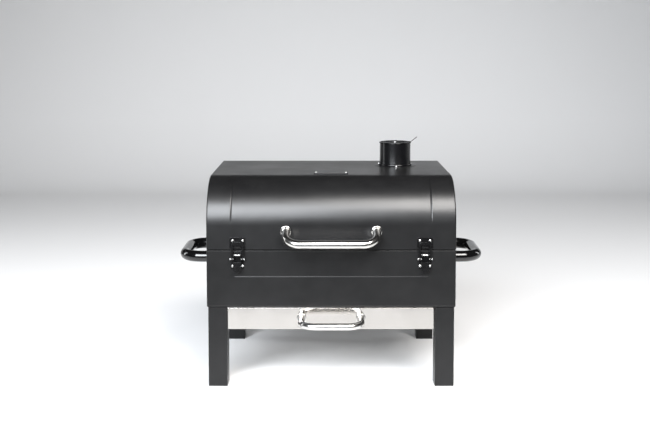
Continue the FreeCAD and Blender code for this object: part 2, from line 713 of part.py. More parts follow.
def make_lid():
    skin = prism_x(lid_outline(0.0), -HALF, HALF).cut(prism_x(lid_outline(SHEET), -HALF, HALF))
    emboss = rod(
        EMBOSS_RADIUS, vec(CHIMNEY_X, CHIMNEY_Y, LID_TOP - SHEET / 2.0),
        vec(CHIMNEY_X, CHIMNEY_Y, EMBOSS_TOP)
    )
    skin = skin.fuse(emboss)
    up = vec(0, 0, 1)
    low = LID_TOP - 3.0 * SHEET
    high = EMBOSS_TOP + SHEET
    bore = CHIMNEY_RADIUS + FIT_GAP
    tools = [
        Part.makeCylinder(bore, high - low, vec(CHIMNEY_X, CHIMNEY_Y, low), up), crease(-1.0), crease(1.0)
    ]
    rivet_hole = RIVET_RADIUS + FIT_GAP
    for x, y in chimney_screw_places() + plate_rivet_places():
        tools.append(rod(rivet_hole, vec(x, y, low), vec(x, y, high)))
    for x, z in keeper_rivets():
        tools.append(rod(rivet_hole, vec(x, FRONT - SHEET, z), vec(x, INNER_FRONT + SHEET, z)))
    for x in hinge_rivet_places():
        z = SEAM + HINGE_RIVET_RISE
        tools.append(rod(rivet_hole, vec(x, INNER_BACK - SHEET, z), vec(x, BACK + SHEET, z)))
    for side in (-1.0, 1.0):
        x = side * LID_HANDLE_SPAN / 2.0
        start = vec(x, FRONT - SHEET, LID_HANDLE_Z)
        tools.append(rod(SCREW_RADIUS + SCREW_CLEARANCE, start, vec(x, INNER_FRONT + SHEET, LID_HANDLE_Z)))
    save("lid_skin", cut(skin, tools))
    for name, side in SIDES:
        save("lid_end_" + name, prism_x(lid_outline(SHEET), side * INNER_HALF, side * HALF))
    front_handle("lid_handle", LID_HANDLE_SPAN / 2.0, FRONT, LID_HANDLE_Z, LID_HANDLE_RADIUS, LID_HANDLE_WALL,
                 LID_HANDLE_REACH, LID_HANDLE_DROP, LID_HANDLE_BEND, LID_FLANGE_RADIUS,
                 LID_FLANGE_THICKNESS, SHEET)


def make_name_plate():
    half = PLATE_WIDTH / 2.0
    y0 = FRONT + LID_CURVE_RADIUS + PLATE_BEHIND_CURVE
    plate = box(-half, half, y0, y0 + PLATE_DEPTH, LID_TOP, LID_TOP + PLATE_THICKNESS)
    uprights = [
        edge for edge in plate.Edges if abs(edge.Vertexes[0].Z - edge.Vertexes[1].Z) > PLATE_THICKNESS / 2.0
    ]
    plate = plate.makeFillet(PLATE_THICKNESS * 2.0, uprights)
    top = LID_TOP + PLATE_THICKNESS
    tools = [
        rod(RIVET_RADIUS + FIT_GAP, vec(x, y, LID_TOP - 1.0), vec(x, y, top + 1.0))
        for x, y in plate_rivet_places()
    ]
    save("name_plate", cut(plate, tools))
    rivets = [rivet(vec(x, y, top), vec(0, 0, 1), PLATE_THICKNESS + SHEET) for x, y in plate_rivet_places()]
    save("name_plate_rivets", rivets)


# ---- chimney and damper ----
def torus_ring(major, minor, z):
    """Round bead about the chimney's axis."""
    return Part.makeTorus(major, minor, vec(CHIMNEY_X, CHIMNEY_Y, z), vec(0, 0, 1))


def make_chimney():
    up = vec(0, 0, 1)
    foot = LID_TOP - SHEET - CHIMNEY_TAIL
    inner = CHIMNEY_RADIUS - CHIMNEY_WALL
    pipe = ring(CHIMNEY_RADIUS, inner, vec(CHIMNEY_X, CHIMNEY_Y, foot), up, CHIMNEY_TOP - foot)
    flange_z = LID_TOP - SHEET - CHIMNEY_WALL
    flange = ring(
        CHIMNEY_RADIUS + CHIMNEY_FLANGE, inner, vec(CHIMNEY_X, CHIMNEY_Y, flange_z), up, CHIMNEY_WALL
    )
    bead = torus_ring(CHIMNEY_RADIUS, CHIMNEY_BEAD, CHIMNEY_TOP - CHIMNEY_BEAD)
    bore = Part.makeCylinder(inner, CHIMNEY_HEIGHT * 2.0, vec(CHIMNEY_X, CHIMNEY_Y, foot), up)
    pipe = fuse([pipe, flange, bead]).cut(bore)
    tools = [
        rod(RIVET_RADIUS + FIT_GAP, vec(x, y, flange_z - 1.0), vec(x, y, LID_TOP))
        for x, y in chimney_screw_places()
    ]
    save("chimney_pipe", cut(pipe, tools))
    base = torus_ring(CHIMNEY_RADIUS + FIT_GAP + BASE_BEAD / 2.0, BASE_BEAD, EMBOSS_TOP + BASE_BEAD)
    base = base.cut(
        Part.makeCylinder(CHIMNEY_RADIUS + FIT_GAP, 4.0 * BASE_BEAD, vec(CHIMNEY_X, CHIMNEY_Y, LID_TOP), up)
    )
    save("chimney_base_ring", base)
    grip = EMBOSS_HEIGHT + SHEET + CHIMNEY_WALL
    screws = []
    for x, y in chimney_screw_places():
        screws.append(rivet(vec(x, y, EMBOSS_TOP), up, grip, CHIMNEY_SCREW_HEAD, CHIMNEY_SCREW_HEIGHT))
    save("chimney_screws", screws)
    centre = vec(CHIMNEY_X, CHIMNEY_Y, 0)
    plate_z = CHIMNEY_TOP - DAMPER_PLATE_DROP
    plate = Part.makeCylinder(inner, DAMPER_SHEET, vec(CHIMNEY_X, CHIMNEY_Y, plate_z), up)
    disc_z = plate_z + DAMPER_SHEET + MOVING_GAP
    disc = Part.makeCylinder(inner - 2.0 * MOVING_GAP, DAMPER_SHEET, vec(CHIMNEY_X, CHIMNEY_Y, disc_z), up)
    ports = []
    for step in range(DAMPER_PORTS):
        angle = 2.0 * math.pi * (step + 0.5) / DAMPER_PORTS
        place = centre.add(
            vec(DAMPER_PORT_CIRCLE * math.cos(angle), DAMPER_PORT_CIRCLE * math.sin(angle), plate_z - 2.0)
        )
        ports.append(Part.makeCylinder(DAMPER_PORT_RADIUS, 4.0 * DAMPER_PLATE_DROP, place, up))
    plate_hole = Part.makeCylinder(
        DAMPER_RIVET_RADIUS, CHIMNEY_HEIGHT, vec(CHIMNEY_X, CHIMNEY_Y, LID_TOP), up
    )
    save("damper_plate", cut(plate, ports + [plate_hole]))
    lever = make_damper_lever(disc_z)
    pin_hole = Part.makeCylinder(
        DAMPER_RIVET_RADIUS + RUNNING_CLEARANCE, CHIMNEY_HEIGHT, vec(CHIMNEY_X, CHIMNEY_Y, LID_TOP), up
    )
    save("damper_disc", fuse([disc, lever]).cut(Part.makeCompound(ports + [pin_hole])))
    head_z = disc_z + DAMPER_SHEET + MOVING_GAP
    shank = rod(DAMPER_RIVET_RADIUS, vec(CHIMNEY_X, CHIMNEY_Y, plate_z), vec(CHIMNEY_X, CHIMNEY_Y, head_z))
    head = rod(
        2.0 * DAMPER_RIVET_RADIUS, vec(CHIMNEY_X, CHIMNEY_Y, head_z),
        vec(CHIMNEY_X, CHIMNEY_Y, head_z + 1.5)
    )
    save("damper_rivet", fuse([shank, head]))


def make_damper_lever(disc_z):
    """Bent strip: up from the disc, across the rim, then out and up to the right."""
    slope = math.tan(math.radians(DAMPER_LEVER_ANGLE))
    t = DAMPER_SHEET
    start = DAMPER_LEVER_START
    over = CHIMNEY_TOP + MOVING_GAP
    bend = CHIMNEY_RADIUS + DAMPER_LEVER_BEND
    end = CHIMNEY_RADIUS + DAMPER_LEVER_REACH
    tip = over + slope * (end - bend)
    half = DAMPER_LEVER_WIDTH / 2.0
    outline = [
        (start, disc_z),
        (start + t, disc_z),
        (start + t, over),
        (bend, over),
        (end, tip),
        (end - t * slope, tip + t),
        (bend - t * slope / 2.0, over + t),
        (start, over + t),
    ]
    corners = [vec(CHIMNEY_X + x, CHIMNEY_Y - half, z) for x, z in outline]
    wire = Part.makePolygon(corners + [corners[0]])
    return Part.Face(wire).extrude(vec(0, 2.0 * half, 0))


# ---- latches ----


def plate_xz(outline, y0, y1):
    """Flat plate with an (x, z) outline; a third value rounds that corner."""
    turned = face_yz([(x, z) + tuple(rest) for x, z, *rest in outline], 0.0)
    turned.rotate(vec(0, 0, 0), vec(0, 0, 1), -90.0)
    turned.translate(vec(0, y0, 0))
    return turned.extrude(vec(0, y1 - y0, 0))


def make_latch(name, side):
    x = side * LATCH_X
    half = LATCH_BASE_WIDTH / 2.0
    base = box(x - half, x + half, FRONT - LATCH_PLATE, FRONT, LATCH_BASE_BOTTOM, LATCH_BASE_TOP)
    parts = [base]
    for sign in (-1.0, 1.0):
        x0 = x + sign * LATCH_EAR_HALF
        x1 = x0 + sign * LATCH_PLATE
        parts.append(box(x0, x1, PIVOT_Y, FRONT - LATCH_PLATE, PIVOT_Z - EAR_BOSS, PIVOT_Z + EAR_BOSS))
        parts.append(rod(EAR_BOSS, vec(x0, PIVOT_Y, PIVOT_Z), vec(x1, PIVOT_Y, PIVOT_Z)))
    base = fuse(parts)
    tools = [
        rod(
            LATCH_PIN_RADIUS + RUNNING_CLEARANCE, vec(x - half, PIVOT_Y, PIVOT_Z),
            vec(x + half, PIVOT_Y, PIVOT_Z)
        )
    ]
    for rx, rz in latch_base_rivets():
        if abs(rx - x) < LATCH_BASE_WIDTH:
            tools.append(
                rod(RIVET_RADIUS + FIT_GAP, vec(rx, FRONT - 2.0 * LATCH_PLATE, rz), vec(rx, FRONT, rz))
            )
    save("latch_base_" + name, cut(base, tools))

    tip_z = PIVOT_Z - LATCH_LEVER_LENGTH
    face_top = tip_z + LATCH_LEVER_FACE
    plate_y = PIVOT_Y - LATCH_LEVER_DEPTH
    wide = LATCH_LEVER_HALF
    tip_bend = wide - MOVING_GAP
    outline = [
        (x - wide, tip_z, tip_bend), (x + wide, tip_z, tip_bend),
        (x + wide, face_top), (x - wide, face_top),
    ]
    face = plate_xz(outline, plate_y, plate_y + LATCH_PLATE)
    parts = [face]
    for sign in (-1.0, 1.0):
        x1 = x + sign * wide
        x0 = x1 - sign * LATCH_PLATE
        low = tip_z + wide
        cheek = [
            (plate_y + LATCH_PLATE / 2.0, low),
            (plate_y + LATCH_PLATE / 2.0, PIVOT_Z),
            (PIVOT_Y + EAR_BOSS - MOVING_GAP, PIVOT_Z),
            (PIVOT_Y + EAR_BOSS - MOVING_GAP, face_top),
        ]
        parts.append(prism_x(cheek, x0, x1))
        parts.append(rod(EAR_BOSS - MOVING_GAP, vec(x0, PIVOT_Y, PIVOT_Z), vec(x1, PIVOT_Y, PIVOT_Z)))
    tools = [
        rod(
            LATCH_PIN_RADIUS + RUNNING_CLEARANCE, vec(x - half, PIVOT_Y, PIVOT_Z),
            vec(x + half, PIVOT_Y, PIVOT_Z)
        ),
        rod(LATCH_PIN_RADIUS, vec(x - half, LOOP_Y, LOOP_Z), vec(x + half, LOOP_Y, LOOP_Z)),
    ]
    save("latch_lever_" + name, cut(fuse(parts), tools))

    pins = []
    for sign in (-1.0, 1.0):
        inner = x + sign * (LATCH_LEVER_HALF - LATCH_PLATE)
        outer = x + sign * (LOOP_HALF + MOVING_GAP)
        end = outer + sign * LATCH_PLATE
        shaft = rod(LATCH_PIN_RADIUS, vec(inner, LOOP_Y, LOOP_Z), vec(outer, LOOP_Y, LOOP_Z))
        head = rod(LATCH_PIN_RADIUS * 1.5, vec(outer, LOOP_Y, LOOP_Z), vec(end, LOOP_Y, LOOP_Z))
        pins.append(fuse([shaft, head]))
    save("latch_loop_pins_" + name, pins)

    top = LOOP_Z + LOOP_LENGTH
    low = LOOP_Z - LOOP_LEG / 2.0
    leg_in = LOOP_HALF - LOOP_LEG
    loop = plate_xz([
        (x - LOOP_HALF, low, 2.2), (x - leg_in, low, 2.2), (x - leg_in, top - LOOP_BAR, 5.0),
        (x + leg_in, top - LOOP_BAR, 5.0), (x + leg_in, low, 2.2), (x + LOOP_HALF, low, 2.2),
        (x + LOOP_HALF, top, 10.0), (x - LOOP_HALF, top, 10.0),
    ], LOOP_FRONT, LOOP_BACK)
    bore = LATCH_PIN_RADIUS + RUNNING_CLEARANCE
    hole = rod(bore, vec(x - 2.0 * LOOP_HALF, LOOP_Y, LOOP_Z), vec(x + 2.0 * LOOP_HALF, LOOP_Y, LOOP_Z))
    bosses = []
    for sign in (-1.0, 1.0):
        x0 = x + sign * leg_in
        x1 = x + sign * LOOP_HALF
        bosses.append(rod(LATCH_PIN_RADIUS + 1.2, vec(x0, LOOP_Y, LOOP_Z), vec(x1, LOOP_Y, LOOP_Z)))
    save("latch_loop_" + name, fuse([loop] + bosses).cut(hole))

    keeper_half = KEEPER_WIDTH / 2.0
    z0 = LID_BOTTOM + KEEPER_ABOVE_SEAM
    z1 = z0 + KEEPER_HEIGHT
    left = x - keeper_half
    right = x + keeper_half
    outline = [(left, z0), (right, z0), (right, z1, KEEPER_CORNER), (left, z1, KEEPER_CORNER)]
    plate = plate_xz(outline,
                     FRONT - LATCH_PLATE, FRONT)
    hook = prism_x([
        (FRONT - LATCH_PLATE, z0), (HOOK_TIP, z0, 3.0), (HOOK_TIP, top - 2.0),
        (HOOK_TIP + LATCH_PLATE, top - 2.0), (HOOK_TIP + LATCH_PLATE, z0 + LATCH_PLATE, 1.4),
        (FRONT - LATCH_PLATE, z0 + LATCH_PLATE),
    ], x - KEEPER_HOOK_HALF, x + KEEPER_HOOK_HALF)
    tools = []
    for rx, rz in keeper_rivets():
        if abs(rx - x) < KEEPER_WIDTH:
            tools.append(
                rod(RIVET_RADIUS + FIT_GAP, vec(rx, FRONT - 2.0 * LATCH_PLATE, rz), vec(rx, FRONT, rz))
            )
    save("latch_keeper_" + name, cut(fuse([plate, hook]), tools))


def make_latch_fasteners():
    pins = []
    for _, side in SIDES:
        x = side * LATCH_X
        pins.append(
            rod(
                LATCH_PIN_RADIUS, vec(x - LATCH_LEVER_HALF, PIVOT_Y, PIVOT_Z),
                vec(x + LATCH_LEVER_HALF, PIVOT_Y, PIVOT_Z)
            )
        )
    save("latch_pins", pins)
    forward = vec(0, -1, 0)
    backward = vec(0, 1, 0)
    leaf = BACK + HINGE_LEAF
    low = [
        rivet(vec(x, FRONT - LATCH_PLATE, z), forward, LATCH_PLATE + SHEET) for x, z in latch_base_rivets()
    ]
    low += [
        rivet(vec(x, leaf, SEAM - HINGE_RIVET_RISE), backward, HINGE_LEAF + SHEET)
        for x in hinge_rivet_places()
    ]
    save("firebox_rivets", low)
    high = [rivet(vec(x, FRONT - LATCH_PLATE, z), forward, LATCH_PLATE + SHEET) for x, z in keeper_rivets()]
    high += [
        rivet(vec(x, leaf, SEAM + HINGE_RIVET_RISE), backward, HINGE_LEAF + SHEET)
        for x in hinge_rivet_places()
    ]
    save("lid_rivets", high)


# ---- hinges ----
def hinge_leaf(x, up, knuckles):
    """Hinge leaf above (up = 1) or below (up = -1) the axis, with its knuckles as (start, end) in x."""
    clear = HINGE_BARREL_RADIUS + 1.5
    far = clear + HINGE_LEAF_HEIGHT
    half = HINGE_WIDTH / 2.0
    parts = [box(x - half, x + half, BACK, BACK + HINGE_LEAF, SEAM + up * clear, SEAM + up * far)]
    for start, end in knuckles:
        parts.append(box(x + start, x + end, BACK + MOVING_GAP, BACK + HINGE_LEAF, SEAM, SEAM + up * clear))
        parts.append(rod(HINGE_BARREL_RADIUS, vec(x + start, HINGE_Y, SEAM), vec(x + end, HINGE_Y, SEAM)))
    tools = [
        rod(
            HINGE_PIN_RADIUS + RUNNING_CLEARANCE, vec(x - half, HINGE_Y, SEAM), vec(x + half, HINGE_Y, SEAM)
        )
    ]
    for rx in hinge_rivet_places():
        z = SEAM + up * HINGE_RIVET_RISE
        if abs(rx - x) < HINGE_WIDTH:
            tools.append(rod(RIVET_RADIUS + FIT_GAP, vec(rx, BACK, z), vec(rx, BACK + 2.0 * HINGE_LEAF, z)))
    return cut(fuse(parts), tools)


def make_hinges():
    half = HINGE_WIDTH / 2.0
    inner = HINGE_KNUCKLE / 2.0
    pins = []
    for name, side in SIDES:
        x = side * HINGE_X
        gap = inner + MOVING_GAP
        save("hinge_lower_leaf_" + name, hinge_leaf(x, -1.0, [(-half, -gap), (gap, half)]))
        save("hinge_upper_leaf_" + name, hinge_leaf(x, 1.0, [(-inner, inner)]))
        shaft = rod(HINGE_PIN_RADIUS, vec(x - half, HINGE_Y, SEAM), vec(x + half, HINGE_Y, SEAM))
        heads = [
            rod(
                HINGE_PIN_RADIUS * 1.6, vec(x + sign * half, HINGE_Y, SEAM),
                vec(x + sign * (half + HINGE_HEAD), HINGE_Y, SEAM)
            )
            for sign in (-1.0, 1.0)
        ]
        pins.append(fuse([shaft] + heads))
    save("hinge_pins", pins)


# ---- inside the firebox ----
def make_grate(name, x0, x1):
    """Cooking grate half: a wire frame with rods from front to back."""
    far = SHEET * 2.0 + GRATE_MARGIN
    y0 = INNER_FRONT + far
    y1 = INNER_BACK - far
    z = LEDGE_TOP + MOVING_GAP + GRATE_WIRE
    corners = [vec(x0, y0, z), vec(x1, y0, z), vec(x1, y1, z), vec(x0, y1, z)]
    parts = []
    for index in range(4):
        parts.append(rod(GRATE_WIRE, corners[index], corners[(index + 1) % 4]))
        parts.append(Part.makeSphere(GRATE_WIRE, corners[index]))
    pitch = (x1 - x0) / (GRATE_RODS + 1.0)
    for step in range(GRATE_RODS):
        x = x0 + pitch * (step + 1.0)
        parts.append(rod(GRATE_ROD, vec(x, y0, z), vec(x, y1, z)))
    save("cooking_grate_" + name, parts[0].multiFuse(parts[1:]))


def make_inside():
    edge = INNER_HALF - 2.0 * SHEET - GRATE_MARGIN - GRATE_WIRE
    middle = GRATE_MID_GAP / 2.0 + GRATE_WIRE
    make_grate("left", -edge, -middle)
    make_grate("right", middle, edge)

    half = FIRE_TRAY_WIDTH / 2.0
    centre = ASH_FRONT + ASH_OPENING_DEPTH / 2.0
    deep = FIRE_TRAY_DEPTH / 2.0
    bottom = FLOOR_TOP + FIRE_TRAY_RAISE
    tray = box(-half, half, centre - deep, centre + deep, bottom, bottom + FIRE_TRAY_HEIGHT)
    hollow = box(-half + SHEET, half - SHEET, centre - deep + SHEET, centre + deep - SHEET, bottom + SHEET,
                 bottom + 2.0 * FIRE_TRAY_HEIGHT)
    tray = tray.cut(hollow)
    feet = [
        box(s * half, s * (half - SHEET), centre - deep, centre + deep, FLOOR_TOP, bottom)
        for s in (-1.0, 1.0)
    ]
    pitch = FIRE_TRAY_WIDTH / (FIRE_TRAY_SLOTS + 1.0)
    slots = []
    for step in range(FIRE_TRAY_SLOTS):
        x = -half + pitch * (step + 1.0)
        run = deep * 0.8
        slots.append(box(x - FIRE_SLOT_WIDTH / 2.0, x + FIRE_SLOT_WIDTH / 2.0, centre - run, centre + run,
                         bottom - 1.0, bottom + 2.0 * SHEET))
    save("fire_tray", cut(fuse([tray] + feet), slots))

    half = RAIL_WEB - RAIL_FLANGE / 2.0 - SHIELD_SCREW_GAP
    deep = SHIELD_DEPTH / 2.0
    middle_y = (FRONT + BACK) / 2.0
    top = LEDGE_TOP - SHIELD_GRATE_GAP
    shield = box(-half, half, middle_y - deep, middle_y + deep, FLOOR_TOP, top)
    under = box(-half + SHEET, half - SHEET, middle_y - deep, middle_y + deep, FLOOR_TOP, top - SHEET)
    save("heat_shield", shield.cut(under))


make_firebox()
make_rim()
make_legs()
make_carry_handles()
make_drawer()
make_lid()
make_name_plate()
make_chimney()
for latch_name, latch_side in SIDES:
    make_latch(latch_name, latch_side)
make_latch_fasteners()
make_hinges()
make_inside()
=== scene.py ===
import json
import logging
import math
from collections.abc import Callable, Iterator, Sequence
from contextlib import contextmanager
from dataclasses import dataclass
from enum import Enum
from functools import partial

import bmesh
import bpy
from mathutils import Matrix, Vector

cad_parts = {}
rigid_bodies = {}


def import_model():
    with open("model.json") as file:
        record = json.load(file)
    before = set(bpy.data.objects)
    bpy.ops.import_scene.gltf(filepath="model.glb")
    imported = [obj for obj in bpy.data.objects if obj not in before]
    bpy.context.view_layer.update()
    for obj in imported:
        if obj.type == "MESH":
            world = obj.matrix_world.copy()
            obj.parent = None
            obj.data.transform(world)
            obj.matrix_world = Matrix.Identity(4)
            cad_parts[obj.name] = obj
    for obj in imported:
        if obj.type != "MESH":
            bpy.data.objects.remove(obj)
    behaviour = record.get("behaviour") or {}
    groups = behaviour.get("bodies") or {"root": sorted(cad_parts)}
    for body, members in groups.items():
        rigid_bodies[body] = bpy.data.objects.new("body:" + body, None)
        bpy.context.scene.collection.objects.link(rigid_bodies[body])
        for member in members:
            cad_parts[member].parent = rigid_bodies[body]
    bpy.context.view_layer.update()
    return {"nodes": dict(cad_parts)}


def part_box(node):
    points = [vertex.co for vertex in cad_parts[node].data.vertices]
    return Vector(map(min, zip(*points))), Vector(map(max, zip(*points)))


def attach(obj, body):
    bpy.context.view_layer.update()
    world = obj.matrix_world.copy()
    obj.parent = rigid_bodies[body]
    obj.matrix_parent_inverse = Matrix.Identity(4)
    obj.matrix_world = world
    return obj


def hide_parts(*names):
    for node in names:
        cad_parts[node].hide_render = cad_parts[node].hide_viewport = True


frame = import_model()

# Tabletop pellet smoker grill: painted sheet-metal lid and firebox, bright handles and ash drawer,
# draw latches, chimney, legs and the parts inside. Metres, +Z up, the front faces -Y.

LOG = logging.getLogger("grill")

Colour = tuple[float, float, float]
Piece = bpy.types.Object
Tree = bpy.types.NodeTree
Node = bpy.types.Node
Test = Callable[..., bool]
SIDES = (("left", -1.0), ("right", 1.0))
UP = Vector((0.0, 0.0, 1.0))
FORWARD = Vector((0.0, -1.0, 0.0))
ACROSS = Vector((1.0, 0.0, 0.0))
NEAR = 1e-5        # two places closer than this are the same place


# ---------------------------------------------------------------- modelling bench
class Pick(Enum):
    """What an edit-mode selection is made of."""

    VERTS = "VERT"
    EDGES = "EDGE"
    FACES = "FACE"


def take(piece: Piece) -> None:
    """Select one object alone and make it active."""
    for other in bpy.context.view_layer.objects:
        other.select_set(False)
    piece.select_set(True)
    bpy.context.view_layer.objects.active = piece


def pick_out(piece: Piece, pick: Pick, test: Test) -> None:
    """Select the faces, edges or vertices that pass a test.

    Args:
        piece: The mesh in edit mode.
        pick: The kind of element that is selected.
        test: Says yes or no from a face's centre and normal, an edge's two ends or a vertex's place.
    """
    mesh = bmesh.from_edit_mesh(piece.data)
    if pick is Pick.FACES:
        for face in mesh.faces:
            face.select_set(test(face.calc_center_median(), face.normal))
    elif pick is Pick.EDGES:
        for edge in mesh.edges:
            edge.select_set(test(edge.verts[0].co, edge.verts[1].co))
    else:
        for vert in mesh.verts:
            vert.select_set(test(vert.co))
        mesh.select_flush_mode()
    bmesh.update_edit_mesh(piece.data)


@contextmanager
def editing(piece: Piece, pick: Pick = Pick.FACES) -> Iterator[Callable[[Test], None]]:
    """Open one piece in edit mode with nothing selected.

    Args:
        piece: The mesh to open.
        pick: The kind of element that is selected.

    Yields:
        A call that selects the elements that pass a test.
    """
    take(piece)
    bpy.ops.object.mode_set(mode="EDIT")
    bpy.ops.mesh.select_mode(type=pick.value)
    bpy.ops.mesh.select_all(action="DESELECT")
    yield partial(pick_out, piece, pick)
    bpy.ops.object.mode_set(mode="OBJECT")


def select_everything() -> None:
    """Select the whole mesh that is in edit mode."""
    bpy.ops.mesh.select_all(action="SELECT")


def extrude_by(step: Sequence[float]) -> None:
    """Extrude what is selected in edit mode.

    Args:
        step: How far, along X, Y and Z.
    """
    bpy.ops.mesh.extrude_region_move(TRANSFORM_OT_translate={"value": step})


def face_outwards() -> None:
    """Turn every face of the mesh in edit mode outwards."""
    select_everything()
    bpy.ops.mesh.normals_make_consistent(inside=False)


def settle(name: str) -> Piece:
    """Name the newest object and put its place, turn and scale into its mesh.

    Args:
        name: The piece's name.

    Returns:
        The object, at the origin.
    """
    piece = bpy.context.view_layer.objects.active
    take(piece)
    bpy.ops.object.transform_apply(location=True, rotation=True, scale=True)
    piece.name = name
    piece.data.name = name
    return piece


def modify(piece: Piece, kind: str, **settings: object) -> None:
    """Add one modifier to a piece and apply it.

    Args:
        piece: The mesh to change.
        kind: The modifier's type.
        **settings: The modifier's own settings.
    """
    take(piece)
    modifier = piece.modifiers.new(kind.lower(), kind)
    for key, value in settings.items():
        setattr(modifier, key, value)
    bpy.ops.object.modifier_apply(modifier=modifier.name)


def round_edges(piece: Piece, width: float, segments: int, test: Test) -> None:
    """Round the edges that pass a test.

    Args:
        piece: The mesh to change.
        width: The width of each rounding.
        segments: Faces across each rounding.
        test: Says yes or no from an edge's two ends.
    """
    with editing(piece, Pick.EDGES) as choose:
        choose(test)
        bpy.ops.mesh.bevel(offset=width, segments=segments, affect="EDGES")


def open_up(piece: Piece, test: Test) -> None:
    """Take away the faces that pass a test.

    Args:
        piece: The mesh to change.
        test: Says yes or no from a face's centre and normal.
    """
    with editing(piece) as choose:
        choose(test)
        bpy.ops.mesh.delete(type="FACE")


def soften(piece: Piece, width: float, segments: int = 3, corner: float = 35.0) -> None:
    """Round a piece's sharp edges.

    Args:
        piece: The mesh to change.
        width: The width of each rounding.
        segments: Faces across each rounding.
        corner: Edges sharper than this many degrees are rounded.
    """
    modify(piece, "BEVEL", width=width, segments=segments, limit_method="ANGLE",
           angle_limit=math.radians(corner), use_clamp_overlap=False)


def shade(piece: Piece, corner: float = 40.0) -> None:
    """Shade a piece smoothly, with its flat faces kept flat.

    Args:
        piece: The mesh to shade.
        corner: Edges sharper than this many degrees stay crisp.
    """
    take(piece)
    bpy.ops.object.shade_smooth_by_angle(angle=math.radians(corner))
    modify(piece, "WEIGHTED_NORMAL", weight=60, keep_sharp=True)


def thicken(shell: Piece, sheet: float) -> None:
    """Give an open shell its sheet thickness, on the inside.

    Args:
        shell: The shell to change.
        sheet: The thickness.
    """
    modify(shell, "SOLIDIFY", thickness=sheet, offset=-1.0, use_even_offset=True)


def combine(piece: Piece, tool: Piece, operation: str = "DIFFERENCE") -> None:
    """Cut a tool's shape out of a piece, or add it, and remove the tool.

    Args:
        piece: The piece to change.
        tool: The shape that is cut or added.
        operation: The boolean's operation.
    """
    modify(piece, "BOOLEAN", operation=operation, object=tool, solver="EXACT")
    bpy.data.objects.remove(tool)


def block(name: str, low: Vector, high: Vector) -> Piece:
    """Make a cube that fills the space between two corners.

    Args:
        name: The piece's name.
        low: The lowest corner.
        high: The highest corner.

    Returns:
        The cube, ready to be shaped.
    """
    bpy.ops.mesh.primitive_cube_add(size=1.0, location=(low + high) / 2.0, scale=high - low)
    return settle(name)


def tube(name: str, points: Sequence[Vector], bend: float, radius: float, sides: int = 40,
         steps: int = 14) -> Piece:
    """Make a round bar by extruding and spinning a ring along a bent path.

    Args:
        name: The piece's name.
        points: The path's ends and corners.
        bend: The bend radius at each corner.
        radius: The bar's radius.
        sides: Faces round the bar.
        steps: Faces along each bend.

    Returns:
        The closed bar.
    """
    heading = (points[1] - points[0]).normalized()
    bpy.ops.mesh.primitive_circle_add(vertices=sides, radius=radius, fill_type="NOTHING", location=points[0],
                                      rotation=heading.to_track_quat("Z", "Y").to_euler())
    piece = settle(name)
    with editing(piece, Pick.EDGES) as choose:
        select_everything()
        here = points[0]
        for corner, after in zip(points[1:-1], points[2:]):
            toward = (corner - here).normalized()
            away = (after - corner).normalized()
            turn = toward.angle(away)
            run = bend * math.tan(turn / 2.0)
            first = corner - toward * run
            extrude_by(first - here)
            inward = (away - toward * away.dot(toward)).normalized()
            bpy.ops.mesh.spin(steps=steps, angle=-turn, center=first + inward * bend, axis=toward.cross(away))
            here = corner + away * run
        extrude_by(points[-1] - here)
        bpy.ops.mesh.edge_face_add()
        choose(lambda a, b: max((a - points[0]).length, (b - points[0]).length) < radius * 1.01)
        bpy.ops.mesh.edge_face_add()
        face_outwards()
    shade(piece)
    return piece


def lathe(name: str, profile: Sequence[tuple[float, float]], centre: Vector, steps: int = 72) -> Piece:
    """Turn a profile about a vertical axis.

    Args:
        name: The piece's name.
        profile: (radius, height) points; the outline is closed if it ends where it starts or on the axis.
        centre: A point on the axis; its height is added to the profile's.
        steps: Faces round the axis.

    Returns:
        The turned piece.
    """
    start = centre + Vector((profile[0][0], 0.0, profile[0][1]))
    bpy.ops.mesh.primitive_plane_add(size=1.0, location=start + Vector((0.5, 0.5, 0.0)))
    piece = settle(name)
    with editing(piece, Pick.VERTS) as choose:
        choose(lambda place: (place - start).length > 0.5)
        bpy.ops.mesh.delete(type="VERT")
        select_everything()
        for before, after in zip(profile, profile[1:]):
            step = (after[0] - before[0], 0.0, after[1] - before[1])
            extrude_by(step)
        select_everything()
        bpy.ops.mesh.spin(steps=steps, angle=2.0 * math.pi, center=centre, axis=(0.0, 0.0, 1.0))
        select_everything()
        bpy.ops.mesh.remove_doubles(threshold=1e-6)
        face_outwards()
    return piece


def arc(radius: float, middle: tuple[float, float], start: float, end: float,
        count: int) -> list[tuple[float, float]]:
    """Points on a circular arc in a profile.

    Args:
        radius: The arc's radius.
        middle: The arc's centre.
        start: The first point's angle in degrees.
        end: The last point's angle in degrees.
        count: The number of steps between them.

    Returns:
        The points, both ends included.
    """
    angles = [math.radians(start + (end - start) * step / count) for step in range(count + 1)]
    return [(middle[0] + radius * math.cos(angle), middle[1] + radius * math.sin(angle)) for angle in angles]


def head(name: str, foot: Vector, outward: Vector, radius: float, height: float, crown: float = 0.85,
         sides: int = 28) -> Piece:
    """Make a round fastener head or flange that stands on a surface.

    Args:
        name: The piece's name.
        foot: The centre of its foot.
        outward: The way it faces.
        radius: The head's radius.
        height: The head's height.
        crown: The share of the height that is rounded over.
        sides: Faces round the head.

    Returns:
        The closed head.
    """
    outward = outward.normalized()
    bpy.ops.mesh.primitive_cylinder_add(vertices=sides, radius=radius, depth=height,
                                        location=foot + outward * (height / 2.0),
                                        rotation=outward.to_track_quat("Z", "Y").to_euler())
    piece = settle(name)
    top = foot + outward * height
    with editing(piece, Pick.EDGES) as choose:
        choose(lambda a, b: min((a - top).dot(outward), (b - top).dot(outward)) > -height * 0.1)
        bpy.ops.mesh.bevel(offset=height * crown, segments=5, affect="EDGES", clamp_overlap=True)
    shade(piece)
    return piece


